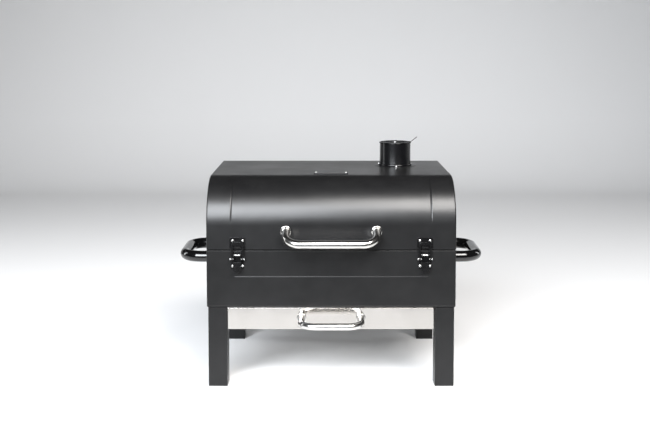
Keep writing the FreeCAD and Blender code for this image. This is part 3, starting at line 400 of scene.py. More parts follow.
def joined(name: str, parts: Sequence[Piece]) -> Piece:
    """Join several meshes into one piece.

    Args:
        name: The piece's name.
        parts: The meshes; the first one takes the others in.

    Returns:
        The joined piece.
    """
    take(parts[0])
    for part in parts:
        part.select_set(True)
    bpy.ops.object.join()
    parts[0].name = name
    parts[0].data.name = name
    return parts[0]


def twin(piece: Piece, name: str, shift: Vector) -> Piece:
    """Copy a piece with a mesh of its own, moved by a distance.

    Args:
        piece: The piece to copy.
        name: The copy's name.
        shift: How far the copy's mesh is moved.

    Returns:
        The copy, at the origin.
    """
    take(piece)
    bpy.ops.object.duplicate(linked=False)
    bpy.context.view_layer.objects.active.location = shift
    return settle(name)


def cast(node: str, name: str, width: float, segments: int = 2) -> Piece:
    """Make a clean piece from a CAD node: merged, its flats made whole and its edges rounded.

    Args:
        node: The CAD node that gives the shape.
        name: The new piece's name.
        width: The width of the edge rounding.
        segments: Faces across the rounding.

    Returns:
        The new piece.
    """
    piece = bpy.data.objects.new(name, frame["nodes"][node].data.copy())
    bpy.context.scene.collection.objects.link(piece)
    piece.data.materials.clear()
    take(piece)
    if piece.data.has_custom_normals:
        bpy.ops.mesh.customdata_custom_splitnormals_clear()
    with editing(piece, Pick.VERTS):
        select_everything()
        bpy.ops.mesh.remove_doubles(threshold=1e-6)
        bpy.ops.mesh.dissolve_limited(angle_limit=math.radians(1.0))
    if width > 0.0:
        soften(piece, width, segments, 40.0)
    shade(piece)
    return piece


# ---------------------------------------------------------------- finishes
class NodeSheet:
    """A node tree that is drawn up one node at a time."""

    def __init__(self, tree: Tree) -> None:
        """Keep the tree that is being drawn."""
        self.tree = tree

    def add(self, kind: str, values: dict[str | int, object] | None = None, **settings: object) -> Node:
        """Add one node.

        Args:
            kind: The node's type name.
            values: Default values by input name or number.
            **settings: The node's own settings.

        Returns:
            The new node.
        """
        node = self.tree.nodes.new(kind)
        for key, value in settings.items():
            setattr(node, key, value)
        for key, value in (values or {}).items():
            node.inputs[key].default_value = value
        return node

    def wire(self, *links: tuple[Node, str | int, Node, str | int]) -> None:
        """Link outputs to inputs.

        Args:
            *links: Each is a node and its output, then a node and its input, by name or number.
        """
        for source, output, target, entry in links:
            self.tree.links.new(source.outputs[output], target.inputs[entry])


def make_grain_group() -> Tree:
    """Build the group that turns stretched noise into a value and a height.

    Returns:
        The node group, with inputs Stretch, Scale, Low and High.
    """
    tree = bpy.data.node_groups.new("surface_grain", "ShaderNodeTree")
    face = tree.interface
    stretch = face.new_socket(name="Stretch", in_out="INPUT", socket_type="NodeSocketVector")
    stretch.default_value = (1.0, 1.0, 1.0)
    for label, default in (("Scale", 100.0), ("Low", 0.0), ("High", 1.0)):
        socket = face.new_socket(name=label, in_out="INPUT", socket_type="NodeSocketFloat")
        socket.default_value = default
    face.new_socket(name="Value", in_out="OUTPUT", socket_type="NodeSocketFloat")
    face.new_socket(name="Height", in_out="OUTPUT", socket_type="NodeSocketFloat")
    sheet = NodeSheet(tree)
    entry = sheet.add("NodeGroupInput")
    exit_node = sheet.add("NodeGroupOutput")
    place = sheet.add("ShaderNodeTexCoord")
    stretched = sheet.add("ShaderNodeVectorMath", operation="MULTIPLY")
    noise = sheet.add("ShaderNodeTexNoise", {"Detail": 3.0, "Roughness": 0.55})
    spread = sheet.add("ShaderNodeMapRange", {"From Min": 0.3, "From Max": 0.7})
    sheet.wire((place, "Object", stretched, 0), (entry, "Stretch", stretched, 1),
               (stretched, 0, noise, "Vector"), (entry, "Scale", noise, "Scale"),
               (noise, "Fac", spread, "Value"), (entry, "Low", spread, "To Min"),
               (entry, "High", spread, "To Max"), (spread, "Result", exit_node, "Value"),
               (noise, "Fac", exit_node, "Height"))
    return tree


def make_dust_group() -> Tree:
    """Build the group that gathers a thin haze of dust on faces that look up.

    Returns:
        The node group, with the input Amount and the output Mask.
    """
    tree = bpy.data.node_groups.new("settled_dust", "ShaderNodeTree")
    face = tree.interface
    face.new_socket(name="Amount", in_out="INPUT", socket_type="NodeSocketFloat").default_value = 0.1
    face.new_socket(name="Mask", in_out="OUTPUT", socket_type="NodeSocketFloat")
    sheet = NodeSheet(tree)
    entry = sheet.add("NodeGroupInput")
    exit_node = sheet.add("NodeGroupOutput")
    place = sheet.add("ShaderNodeTexCoord")
    geometry = sheet.add("ShaderNodeNewGeometry")
    split = sheet.add("ShaderNodeSeparateXYZ")
    upward = sheet.add("ShaderNodeMapRange", {"From Min": 0.55, "From Max": 1.0},
                       interpolation_type="SMOOTHSTEP")
    noise = sheet.add("ShaderNodeTexNoise", {"Scale": 260.0, "Detail": 5.0, "Roughness": 0.7})
    clumps = sheet.add("ShaderNodeMapRange", {"From Min": 0.45, "From Max": 0.8})
    both = sheet.add("ShaderNodeMath", operation="MULTIPLY")
    final = sheet.add("ShaderNodeMath", operation="MULTIPLY")
    sheet.wire((geometry, "Normal", split, 0), (split, "Z", upward, "Value"),
               (place, "Object", noise, "Vector"), (noise, "Fac", clumps, "Value"),
               (upward, "Result", both, 0), (clumps, "Result", both, 1), (both, 0, final, 0),
               (entry, "Amount", final, 1), (final, 0, exit_node, "Mask"))
    return tree


@dataclass(frozen=True)
class Finish:
    """One finish: its colour, its gloss and the fine structure of its surface.

    The gloss runs between two roughness values in soft patches; the texture is a fine bump, stretched
    along a direction on brushed metal; the waves are the slight unevenness of thin sheet.
    """

    title: str
    slot: str
    colour: Colour
    second: Colour
    gloss: tuple[float, float]
    metallic: float = 0.0
    patch_scale: float = 9.0
    texture_scale: float = 900.0
    texture_depth: float = 1e-5
    stretch: Colour = (1.0, 1.0, 1.0)
    wave_scale: float = 7.0
    wave_depth: float = 0.0
    coat: float = 0.0
    specular: float = 0.5
    dust: float = 0.0

    def build(self, grain: Tree, dust: Tree) -> bpy.types.Material:
        """Make the material.

        Args:
            grain: The shared grain group.
            dust: The shared dust group.

        Returns:
            The finished material.
        """
        material = bpy.data.materials.new(self.title)
        material.use_nodes = True
        material.diffuse_color = (*self.colour, 1.0)
        sheet = NodeSheet(material.node_tree)
        shader = material.node_tree.nodes["Principled BSDF"]
        shader.inputs["Metallic"].default_value = self.metallic
        shader.inputs["Coat Weight"].default_value = self.coat
        shader.inputs["Specular IOR Level"].default_value = self.specular
        shader.inputs["Coat Roughness"].default_value = 0.05
        patches = self.grain_node(sheet, grain, self.patch_scale, self.gloss)
        sheet.wire((patches, "Value", shader, "Roughness"))
        tint = self.grain_node(sheet, grain, self.patch_scale * 3.0, (0.0, 1.0))
        mix = sheet.add("ShaderNodeMix", data_type="RGBA")
        mix.inputs["A"].default_value = (*self.colour, 1.0)
        mix.inputs["B"].default_value = (*self.second, 1.0)
        sheet.wire((tint, "Value", mix, "Factor"))
        coloured = mix
        if self.dust > 0.0:
            haze = sheet.add("ShaderNodeGroup", node_tree=dust)
            haze.inputs["Amount"].default_value = self.dust
            dusty = sheet.add("ShaderNodeMix", data_type="RGBA")
            dusty.inputs["B"].default_value = (0.35, 0.33, 0.3, 1.0)
            sheet.wire((haze, "Mask", dusty, "Factor"), (mix, "Result", dusty, "A"))
            coloured = dusty
        sheet.wire((coloured, "Result", shader, "Base Color"))
        texture = self.grain_node(sheet, grain, self.texture_scale, (0.0, 1.0), self.stretch)
        bump = sheet.add("ShaderNodeBump", {"Strength": 1.0, "Distance": self.texture_depth})
        sheet.wire((texture, "Height", bump, "Height"))
        if self.wave_depth > 0.0:
            wave = self.grain_node(sheet, grain, self.wave_scale, (0.0, 1.0))
            swell = sheet.add("ShaderNodeBump", {"Strength": 1.0, "Distance": self.wave_depth})
            sheet.wire((wave, "Height", swell, "Height"), (swell, "Normal", bump, "Normal"),
                       (bump, "Normal", shader, "Normal"))
        return material

    @staticmethod
    def grain_node(sheet: NodeSheet, group: Tree, scale: float, span: tuple[float, float],
                   stretch: Colour = (1.0, 1.0, 1.0)) -> Node:
        """Place the grain group with its own values.

        Args:
            sheet: The material's node sheet.
            group: The grain group.
            scale: Noise features per metre, roughly.
            span: The lowest and highest output value.
            stretch: How much finer the grain is along X, Y and Z.

        Returns:
            The placed group node.
        """
        node = sheet.add("ShaderNodeGroup", node_tree=group)
        node.inputs["Scale"].default_value = scale
        node.inputs["Low"].default_value = span[0]
        node.inputs["High"].default_value = span[1]
        node.inputs["Stretch"].default_value = stretch
        return node


class Coat(Enum):
    """The finishes the grill is made in, and one near-black finish that is painted shade."""

    LID = Finish("satin lid paint", "lid_black", (0.0045, 0.0045, 0.0048), (0.0065, 0.0065, 0.0068),
                 (0.30, 0.36), dust=0.02, texture_depth=1.8e-5, wave_scale=5.0, wave_depth=9e-4)
    ENAMEL = Finish("chimney enamel", "lid_black", (0.0025, 0.0025, 0.0029), (0.004, 0.004, 0.0045),
                    (0.20, 0.25), texture_depth=1.2e-5)
    BODY = Finish("satin body paint", "body_black", (0.0055, 0.0055, 0.0057), (0.008, 0.008, 0.0082),
                  (0.34, 0.40), specular=0.30, dust=0.02, texture_scale=1000.0, texture_depth=2.2e-5)
    # Painted shade: near-black, dull steel with little specular, so the firebox rim seen through the seam gap
    # under the lid and the grate ledges inside read as dark shade.
    SOOT = Finish("near-black steel as painted shade", "body_black", (0.002, 0.002, 0.002), (0.004, 0.004, 0.004),
                  (0.7, 0.8), specular=0.1, texture_scale=1200.0, texture_depth=3e-5)
    LATCH = Finish("latch enamel", "gloss_black", (0.0025, 0.0025, 0.0027), (0.004, 0.004, 0.0042),
                   (0.24, 0.30), specular=0.4, patch_scale=60.0)
    GLOSS = Finish("gloss enamel", "gloss_black", (0.0025, 0.0025, 0.0027), (0.0035, 0.0035, 0.0037),
                   (0.10, 0.16), coat=0.3, texture_scale=500.0, texture_depth=6e-6)
    MIRROR = Finish("mirror sheet", "mirror_steel", (0.66, 0.635, 0.605), (0.70, 0.675, 0.645), (0.10, 0.15),
                    metallic=1.0, texture_scale=420.0, texture_depth=4e-6, stretch=(0.05, 1.0, 1.0),
                    wave_scale=9.0, wave_depth=6e-4)
    SATIN = Finish("polished tube", "mirror_steel", (0.56, 0.55, 0.532), (0.61, 0.60, 0.58), (0.20, 0.27),
                   metallic=1.0, texture_scale=700.0, texture_depth=8e-6, stretch=(0.05, 1.0, 1.0))
    PLAIN = Finish("mill sheet", "plain_steel", (0.50, 0.485, 0.465), (0.56, 0.545, 0.52), (0.26, 0.38),
                   metallic=1.0, texture_scale=700.0, texture_depth=1.5e-5, stretch=(0.04, 1.0, 1.0))
    ZINC = Finish("zinc plate", "zinc", (0.56, 0.56, 0.55), (0.64, 0.64, 0.63), (0.24, 0.34),
                  metallic=1.0, patch_scale=160.0, texture_scale=1500.0)
    WIRE = Finish("plated wire", "bright_wire", (0.66, 0.655, 0.65), (0.74, 0.735, 0.73), (0.12, 0.22),
                  metallic=1.0, patch_scale=40.0, texture_depth=8e-6)
    FOOT = Finish("moulded cap", "foot_black", (0.012, 0.012, 0.012), (0.018, 0.018, 0.018), (0.5, 0.62),
                  texture_scale=1600.0, texture_depth=4e-5)
    COLLAR = Finish("turned collar", "collar_grey", (0.60, 0.61, 0.62), (0.68, 0.69, 0.70), (0.24, 0.34),
                    metallic=1.0, patch_scale=60.0, texture_scale=1200.0, texture_depth=1.2e-5)
    BADGE = Finish("dark plate", "badge_dark", (0.022, 0.022, 0.023), (0.03, 0.03, 0.031), (0.28, 0.36),
                   metallic=0.6, stretch=(0.04, 1.0, 1.0))


class PaintShop:
    """Builds each finish once and puts it on pieces and on carried-over CAD nodes."""

    def __init__(self) -> None:
        """Build the shared groups and every finish."""
        grain = make_grain_group()
        dust = make_dust_group()
        self.materials = {coat: coat.value.build(grain, dust) for coat in Coat}

    def dress(self, piece: Piece, coat: Coat, body: str, *nodes: str) -> None:
        """Paint a finished piece, fix it to its body and let it stand for CAD nodes.

        Args:
            piece: The finished mesh.
            coat: Its finish.
            body: The CAD body it moves with.
            *nodes: The CAD nodes it replaces.
        """
        piece.data.materials.clear()
        piece.data.materials.append(self.materials[coat])
        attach(piece, body)
        if nodes:
            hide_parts(*nodes)

    def recast(self, node: str, name: str, width: float, coat: Coat, body: str) -> None:
        """Clean a CAD node up into a piece of its own and dress it.

        Args:
            node: The CAD node that gives the shape and is replaced.
            name: The new piece's name.
            width: The width of its edge rounding.
            coat: Its finish.
            body: The CAD body it moves with.
        """
        self.dress(cast(node, name, width), coat, body, node)

    def repaint(self, coat: Coat, *nodes: str) -> None:
        """Give CAD nodes that stay in view a finish.

        Args:
            coat: The finish.
            *nodes: The CAD nodes.
        """
        for name in nodes:
            for place in frame["nodes"][name].material_slots:
                place.material = self.materials[coat]


# ---------------------------------------------------------------- sub-assemblies
@dataclass
class FoldedShell:
    """A sheet-metal shell that is shaped from one block and then parted into a wrap and two end panels."""

    shop: PaintShop
    sheet: float = 0.0015

    def part_ends(self, shell: Piece, parting: float) -> tuple[Piece, Piece]:
        """Part the two end panels from the shell.

        Args:
            shell: The shell, with its folds made.
            parting: How far from the middle the end panels begin.

        Returns:
            The left and the right panel.
        """
        with editing(shell) as choose:
            choose(lambda centre, normal: abs(centre.x) > parting)
            bpy.ops.mesh.separate(type="SELECTED")
        left = next(item for item in bpy.context.selected_objects if item is not shell)
        with editing(left) as choose:
            choose(lambda centre, normal: centre.x > 0.0)
            bpy.ops.mesh.separate(type="SELECTED")
        right = next(item for item in bpy.context.selected_objects if item is not left)
        return left, right

    def finish_ends(self, panels: tuple[Piece, Piece], body: str, coat: Coat, corner: float) -> None:
        """Give the end panels their thickness and dress them.

        Args:
            panels: The left and the right panel.
            body: The CAD body they belong to.
            coat: Their finish.
            corner: Edges sharper than this many degrees stay crisp.
        """
        for (side, _), panel in zip(SIDES, panels):
            panel.name = f"{body}_end_panel_{side}"
            thicken(panel, self.sheet)
            shade(panel, corner)
            self.shop.dress(panel, coat, body, f"{body}_end_{side}")


@dataclass
class BowHandle:
    """A bright round bar bent to a bow, with a flange at each foot."""

    shop: PaintShop
    node: str
    body: str
    radius: float
    bend: float
    flange_radius: float
    flange_height: float

    def build(self) -> None:
        """Bend the bar, trim it flush with the wall where it slopes, and set the flanges."""
        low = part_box(self.node)[0]
        feet_low, feet_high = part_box(self.node + "_flanges")
        wall = feet_high.y
        span = feet_high.x - self.flange_radius
        foot_z = (feet_low.z + feet_high.z) / 2.0
        bar_y = low.y + self.radius
        bar_z = low.z + self.radius
        back = Vector((0.0, wall - bar_y, foot_z - bar_z))
        left, right = Vector((-span, bar_y, bar_z)), Vector((span, bar_y, bar_z))
        points = [left + back, left, right, right + back]
        bar = tube(self.node + "_bar", points, self.bend, self.radius, 48, 20)
        if abs(back.z) > NEAR:
            with editing(bar):
                select_everything()
                bpy.ops.mesh.bisect(plane_co=(0.0, wall, 0.0), plane_no=-FORWARD, clear_outer=True,
                                    use_fill=True)
            shade(bar)
        self.shop.dress(bar, Coat.SATIN, self.body, self.node)
        flanges = [head("flange", Vector((side * span, wall, foot_z)), FORWARD, self.flange_radius,
                        self.flange_height, 0.6, 40) for _, side in SIDES]
        self.shop.dress(joined(self.node + "_cups", flanges), Coat.SATIN, self.body, self.node + "_flanges")


@dataclass
class Lid(FoldedShell):
    """The hinged lid: a wrapped sheet with two end panels, its handle and its name plate."""

    curve: float = 0.110
    rear_bend: float = 0.036
    end_fold: float = 0.0028
    emboss_height: float = 0.001
    emboss_radius: float = 0.057
    emboss_slope: float = 0.004
    chimney_hole: float = 0.0412
    crease_from_end: float = 0.059
    crease_half: float = 0.0022
    crease_depth: float = 0.0009
    hem: float = 0.0004
    seam_relief: float = 0.0008

    def build(self) -> None:
        """Make every piece of the lid."""
        self.make_shell()
        BowHandle(self.shop, "lid_handle", "lid", 0.010, 0.036, 0.0135, 0.0035).build()
        self.make_name_plate()

    def make_shell(self) -> None:
        """Shape the lid from one block, then part it into the wrap and its end panels."""
        low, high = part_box("lid_skin")
        low.z += self.seam_relief
        high.z -= self.emboss_height
        shell = block("lid_wrap", low, high)
        round_edges(shell, self.curve, 40,
                    lambda a, b: max(a.y, b.y) < low.y + NEAR and min(a.z, b.z) > high.z - NEAR)
        round_edges(shell, self.rear_bend, 16,
                    lambda a, b: min(a.y, b.y) > high.y - NEAR and min(a.z, b.z) > high.z - NEAR)
        open_up(shell, lambda centre, normal: normal.z < -0.9)
        round_edges(shell, self.end_fold, 4, lambda a, b: abs(a.x - b.x) < NEAR and abs(a.x) > high.x - NEAR
                    and max(a.z, b.z) > low.z + NEAR)
        self.press_creases(shell, low, high)
        panels = self.part_ends(shell, high.x - self.end_fold - NEAR)
        thicken(shell, self.sheet)
        self.make_chimney_seat(shell, high.z)
        soften(shell, self.hem, 2, 50.0)
        shade(shell, 15.0)
        self.shop.dress(shell, Coat.LID, "lid", "lid_skin")
        self.finish_ends(panels, "lid", Coat.LID, 25.0)

    def press_creases(self, shell: Piece, low: Vector, high: Vector) -> None:
        """Press a shallow groove over the curve near each end, fading out at the top and the bottom.

        Args:
            shell: The lid's shell.
            low: Its lowest corner.
            high: Its highest corner.
        """
        middle = high.x - self.crease_from_end
        for _, side in SIDES:
            for offset in (-self.crease_half, 0.0, self.crease_half):
                with editing(shell):
                    select_everything()
                    bpy.ops.mesh.bisect(plane_co=(side * middle + offset, 0.0, 0.0), plane_no=ACROSS)
        for start, end, share in ((2.0, 6.0, 0.3), (6.0, 12.0, 0.7), (12.0, 70.0, 1.0), (70.0, 78.0, 0.6),
                                  (78.0, 84.0, 0.3)):
            with editing(shell, Pick.VERTS) as choose:
                choose(partial(self.on_crease, low, high, start, end))
                bpy.ops.transform.shrink_fatten(value=-self.crease_depth * share)

    def on_crease(self, low: Vector, high: Vector, start: float, end: float, place: Vector) -> bool:
        """Say whether a point lies on the bottom of a crease, in one stretch of the curve.

        Args:
            low: The shell's lowest corner.
            high: Its highest corner.
            start: Where the stretch starts, in degrees up from the front.
            end: Where it ends.
            place: The point.

        Returns:
            True if the point is pressed in with this stretch.
        """
        rise = place.z - (high.z - self.curve)
        reach = low.y + self.curve - place.y
        return (abs(abs(place.x) - high.x + self.crease_from_end) < self.crease_half / 4.0
                and start < math.degrees(math.atan2(rise, reach)) <= end
                and math.hypot(rise, reach) > self.curve * 0.98)

    def make_chimney_seat(self, shell: Piece, top: float) -> None:
        """Raise the pressed disc round the chimney and cut the chimney's hole.

        Args:
            shell: The lid's wrap, with its thickness.
            top: The height of the lid's flat top.
        """
        pipe_low, pipe_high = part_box("chimney_base_ring")
        centre = (pipe_low + pipe_high) / 2.0
        flat = self.emboss_radius - self.emboss_slope
        disc = lathe("emboss", [(0.0, -self.sheet * 0.6), (self.emboss_radius, -self.sheet * 0.6),
                                (self.emboss_radius, -0.0001),
                                (self.emboss_radius - self.emboss_slope * 0.3, self.emboss_height * 0.35),
                                (flat, self.emboss_height), (0.0, self.emboss_height)],
                     Vector((centre.x, centre.y, top)), 96)
        combine(shell, disc, "UNION")
        bpy.ops.mesh.primitive_cylinder_add(vertices=72, radius=self.chimney_hole, depth=0.02,
                                            location=(centre.x, centre.y, top))
        combine(shell, settle("cutter"))

    def make_name_plate(self) -> None:
        """Make the blank name plate and its two rivets."""
        self.shop.recast("name_plate", "name_plate_blank", 0.0004, Coat.BADGE, "lid")
        low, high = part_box("name_plate")
        rivets_low, rivets_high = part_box("name_plate_rivets")
        radius = (rivets_high.y - rivets_low.y) / 2.0
        y = (low.y + high.y) / 2.0
        heads = [head("rivet", Vector((x, y, high.z)), UP, radius, rivets_high.z - high.z)
                 for x in (rivets_low.x + radius, rivets_high.x - radius)]
        self.shop.dress(joined("name_plate_studs", heads), Coat.ZINC, "lid", "name_plate_rivets")


@dataclass
class Firebox(FoldedShell):
    """The firebox: a folded shell with end panels, its rim, its side handles and what stands in it."""

    bend: float = 0.007
    end_fold: float = 0.0035
    hem: float = 0.0011
    press_height: float = 0.076
    press_from_end: float = 0.065
    press_depth: float = 0.0012
    press_width: float = 0.005
    press_run_out: float = 0.004
    carry_radius: float = 0.014
    carry_bend: float = 0.044
    collar_radius: float = 0.017
    collar_height: float = 0.006

    def build(self) -> None:
        """Make every piece of the firebox."""
        self.make_shell()
        self.make_side_handles()
        self.make_inside()

    def make_shell(self) -> None:
        """Shape the firebox from one block, then part it into the wrap and its end panels."""
        low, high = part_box("firebox_wrap")
        shell = block("firebox_shell", low, high)
        round_edges(shell, self.bend, 8, lambda a, b: abs(a.x - b.x) > NEAR and max(a.z, b.z) < low.z + NEAR)
        open_up(shell, lambda centre, normal: normal.z > 0.9)
        round_edges(shell, self.end_fold, 5, lambda a, b: abs(a.x - b.x) < NEAR and abs(a.x) > high.x - NEAR
                    and min(a.z, b.z) < high.z - NEAR)
        self.press_line(shell, low, high)
        panels = self.part_ends(shell, high.x - self.end_fold - NEAR)
        thicken(shell, self.sheet)
        self.cut_ash_opening(shell, low)
        round_edges(shell, self.hem, 4, lambda a, b: abs(a.x - b.x) > NEAR and min(a.z, b.z) > high.z - NEAR
                    and (max(a.y, b.y) < low.y + NEAR or min(a.y, b.y) > high.y - NEAR))
        shade(shell, 25.0)
        self.shop.dress(shell, Coat.BODY, "firebox", "firebox_wrap")
        self.finish_ends(panels, "firebox", Coat.BODY, 30.0)

    def press_line(self, shell: Piece, low: Vector, high: Vector) -> None:
        """Press the long horizontal line into the front.

        Args:
            shell: The firebox's shell.
            low: Its lowest corner.
            high: Its highest corner.
        """
        middle = low.z + self.press_height
        deepest = middle + self.press_width / 6.0
        half_line = high.x - self.press_from_end
        cuts = [(Vector((0.0, 0.0, height)), UP)
                for height in (middle - self.press_width / 2.0, deepest, middle + self.press_width / 2.0)]
        full = half_line - self.press_run_out
        cuts += [(Vector((place, 0.0, 0.0)), ACROSS) for place in (-half_line, -full, full, half_line)]
        for place, way in cuts:
            with editing(shell) as choose:
                choose(lambda centre, normal: normal.y < -0.9)
                bpy.ops.mesh.bisect(plane_co=place, plane_no=way)
        with editing(shell, Pick.VERTS) as choose:
            choose(lambda place: place.y < low.y + NEAR and abs(place.z - deepest) < NEAR
                   and abs(place.x) < half_line - self.press_run_out / 2.0)
            bpy.ops.transform.translate(value=(0.0, self.press_depth, 0.0))

    def cut_ash_opening(self, shell: Piece, low: Vector) -> None:
        """Cut the opening in the floor that ash falls through into the drawer.

        Args:
            shell: The firebox's wrap, with its thickness.
            low: Its lowest corner.
        """
        tray_low, tray_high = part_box("fire_tray")
        margin = Vector((0.020, 0.015, 0.0))
        start = Vector((tray_low.x, tray_low.y, low.z - 0.01)) + margin
        end = Vector((tray_high.x, tray_high.y, low.z + 0.01)) - margin
        combine(shell, block("cutter", start, end))

    def make_side_handles(self) -> None:
        """Bend the two carrying handles and turn their collars."""
        collars = []
        for name, side in SIDES:
            low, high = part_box("side_handle_" + name)
            y0 = low.y + self.carry_radius
            y1 = high.y - self.carry_radius
            z = (low.z + high.z) / 2.0
            wall, tip = (high.x, low.x) if side < 0.0 else (low.x, high.x)
            bar_x = tip - side * self.carry_radius
            points = [Vector((x, y, z)) for x, y in ((wall, y0), (bar_x, y0), (bar_x, y1), (wall, y1))]
            bar = tube("carry_handle_" + name, points, self.carry_bend, self.carry_radius, 48, 20)
            self.shop.dress(bar, Coat.GLOSS, "firebox", "side_handle_" + name)
            collars += [head("collar", foot, side * ACROSS, self.collar_radius, self.collar_height, 0.25, 48)
                        for foot in (points[0], points[-1])]
        self.shop.dress(joined("carry_handle_collars", collars), Coat.COLLAR, "firebox",
                        "side_handle_collars")

    def make_inside(self) -> None:
        """Clean up the pieces that stand inside the firebox."""
        # Painted shade: the rim and the grate ledges inside the firebox are painted near-black, so the seam
        # gap under the lid looks dark.
        for node in ("firebox_rim", "grate_ledges"):
            self.shop.recast(node, node + "_strip", 0.0004, Coat.SOOT, "firebox")
        for node in ("fire_tray", "heat_shield"):
            self.shop.recast(node, node + "_sheet", 0.0004, Coat.PLAIN, "firebox")
        self.shop.repaint(Coat.ZINC, "leg_bolts", "side_handle_screws", "rail_screws")


@dataclass
class Legs:
    """Four square legs with moulded foot caps."""

    shop: PaintShop
    corner: float = 0.0018

    def build(self) -> None:
        """Make the legs and the caps."""
        caps = []
        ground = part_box("leg_caps")[0].z
        for place in ("front_left", "front_right", "rear_left", "rear_right"):
            low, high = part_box("leg_" + place)
            leg = block("leg_tube_" + place, low, high)
            round_edges(leg, self.corner, 4, lambda a, b: abs(a.z - b.z) > (high.z - low.z) / 2.0)
            soften(leg, 0.0004, 2, 60.0)
            shade(leg, 30.0)
            self.shop.dress(leg, Coat.BODY, "firebox", "leg_" + place)
            cap = block("cap", Vector((low.x, low.y, ground)), Vector((high.x, high.y, low.z)))
            soften(cap, 0.0006, 3)
            shade(cap)
            caps.append(cap)
        self.shop.dress(joined("foot_caps", caps), Coat.FOOT, "firebox", "leg_caps")


@dataclass
class Drawer:
    """The ash drawer: a polished front, a folded tray, a handle and the two rails it runs in."""

    shop: PaintShop
    sheet: float = 0.001
    front_round: float = 0.0005

    def build(self) -> None:
        """Make every piece of the drawer."""
        self.make_front()
        self.make_tray()
        BowHandle(self.shop, "drawer_handle", "drawer", 0.008, 0.034, 0.012, 0.003).build()
        for side, _ in SIDES:
            self.shop.recast("drawer_rail_" + side, "drawer_runner_" + side, 0.0004, Coat.BODY, "firebox")
        self.shop.repaint(Coat.ZINC, "drawer_handle_screws", "lid_handle_screws")

    def make_front(self) -> None:
        """Fold the front panel: rounded front edges and short returns."""
        low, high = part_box("drawer_front")
        front = block("drawer_face", low, high)
        round_edges(front, self.front_round, 5, lambda a, b: max(a.y, b.y) < low.y + NEAR)
        open_up(front, lambda centre, normal: normal.y > 0.9)
        thicken(front, self.sheet)
        shade(front, 30.0)
        self.shop.dress(front, Coat.MIRROR, "drawer", "drawer_front")

    def make_tray(self) -> None:
        """Press the tray from a block: inset its top and sink the middle."""
        low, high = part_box("drawer_tray")
        tray = block("drawer_pan", low, high)
        with editing(tray) as choose:
            choose(lambda centre, normal: normal.z > 0.9)
            bpy.ops.mesh.inset(thickness=self.sheet, depth=0.0)
            sink = (0.0, 0.0, low.z + self.sheet - high.z)
            extrude_by(sink)
            face_outwards()
        soften(tray, 0.0003, 2)
        shade(tray)
        self.shop.dress(tray, Coat.PLAIN, "drawer", "drawer_tray")


@dataclass
class Chimney:
    """The chimney pipe with a rolled rim and a base bead, and the damper that turns in it."""

    shop: PaintShop
    wall: float = 0.0015
    rim_bead: float = 0.0018
    base_bead: float = 0.0022
    flange: float = 0.012
    sheet: float = 0.0015
    screw_head: float = 0.0038
    rivet_height: float = 0.0015
    bead_gap: float = 0.0001

    def build(self) -> None:
        """Make every piece of the chimney."""
        low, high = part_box("chimney_pipe")
        plate_low, plate_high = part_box("damper_plate")
        lid_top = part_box("name_plate")[0].z
        axis = Vector(((plate_low.x + plate_high.x) / 2.0, (plate_low.y + plate_high.y) / 2.0, 0.0))
        inner = (plate_high.x - plate_low.x) / 2.0
        radius = inner + self.wall
        under = lid_top - self.sheet
        bead_z = high.z - self.rim_bead
        outer = radius + self.flange
        profile = [(inner, low.z), (radius, low.z), (radius, under - self.wall), (outer, under - self.wall),
                   (outer, under), (radius, under), (radius, bead_z - self.rim_bead),
                   *arc(self.rim_bead, (radius, bead_z), -60.0, 150.0, 10), (inner, bead_z), (inner, low.z)]
        pipe = lathe("chimney_tube", profile, axis, 96)
        shade(pipe, 35.0)
        self.shop.dress(pipe, Coat.ENAMEL, "lid", "chimney_pipe")
        self.make_base(axis, radius)
        self.make_damper(axis)

    def make_base(self, axis: Vector, radius: float) -> None:
        """Roll the bead round the chimney's foot and set the screws.

        Args:
            axis: A point on the chimney's axis.
            radius: The pipe's radius.
        """
        low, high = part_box("chimney_base_ring")
        inner = radius + self.bead_gap
        middle = (inner + self.base_bead / 2.0, low.z + self.base_bead)
        profile = [(inner, low.z), *arc(self.base_bead, middle, -80.0, 120.0, 10), (inner, high.z),
                   (inner, low.z)]
        ring = lathe("chimney_foot_bead", profile, axis, 96)
        shade(ring, 50.0)
        self.shop.dress(ring, Coat.ENAMEL, "lid", "chimney_base_ring")
        screw_low, screw_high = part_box("chimney_screws")
        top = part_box("lid_skin")[1].z
        circle = axis.y - (screw_low.y + self.screw_head)
        feet = [Vector((axis.x + circle * math.cos(angle), axis.y + circle * math.sin(angle), top))
                for angle in map(math.radians, (-90.0, 30.0, 150.0))]
        heads = [head("screw", foot, UP, self.screw_head, screw_high.z - top, 0.5) for foot in feet]
        self.shop.dress(joined("chimney_foot_screws", heads), Coat.ZINC, "lid", "chimney_screws")

    def make_damper(self, axis: Vector) -> None:
        """Clean up the damper's plate and disc, and set the rivet that the disc turns on.

        Args:
            axis: A point on the chimney's axis.
        """
        self.shop.recast("damper_plate", "damper_seat", 0.0002, Coat.BODY, "lid")
        self.shop.recast("damper_disc", "damper_shutter", 0.0002, Coat.BODY, "damper")
        low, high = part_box("damper_rivet")
        foot = Vector((axis.x, axis.y, high.z - self.rivet_height))
        pin = head("damper_pin", foot, UP, (high.x - low.x) / 2.0, self.rivet_height)
        self.shop.dress(pin, Coat.ZINC, "lid", "damper_rivet")


@dataclass
class DrawLatch:
    """One draw latch: base, lever, wire loop and the keeper on the lid."""

    shop: PaintShop
    side: str
    edge: float = 0.00035
    pin_edge: float = 0.0003

    def build(self) -> None:
        """Make every piece of the latch."""
        for node, body in (("latch_base_", "firebox"), ("latch_lever_", "lever_" + self.side),
                           ("latch_loop_", "loop_" + self.side), ("latch_keeper_", "lid")):
            self.shop.recast(node + self.side, "draw_" + node + self.side, self.edge, Coat.LATCH, body)
        self.shop.recast("latch_loop_pins_" + self.side, "draw_latch_pivots_" + self.side, self.pin_edge,
                         Coat.ZINC, "lever_" + self.side)


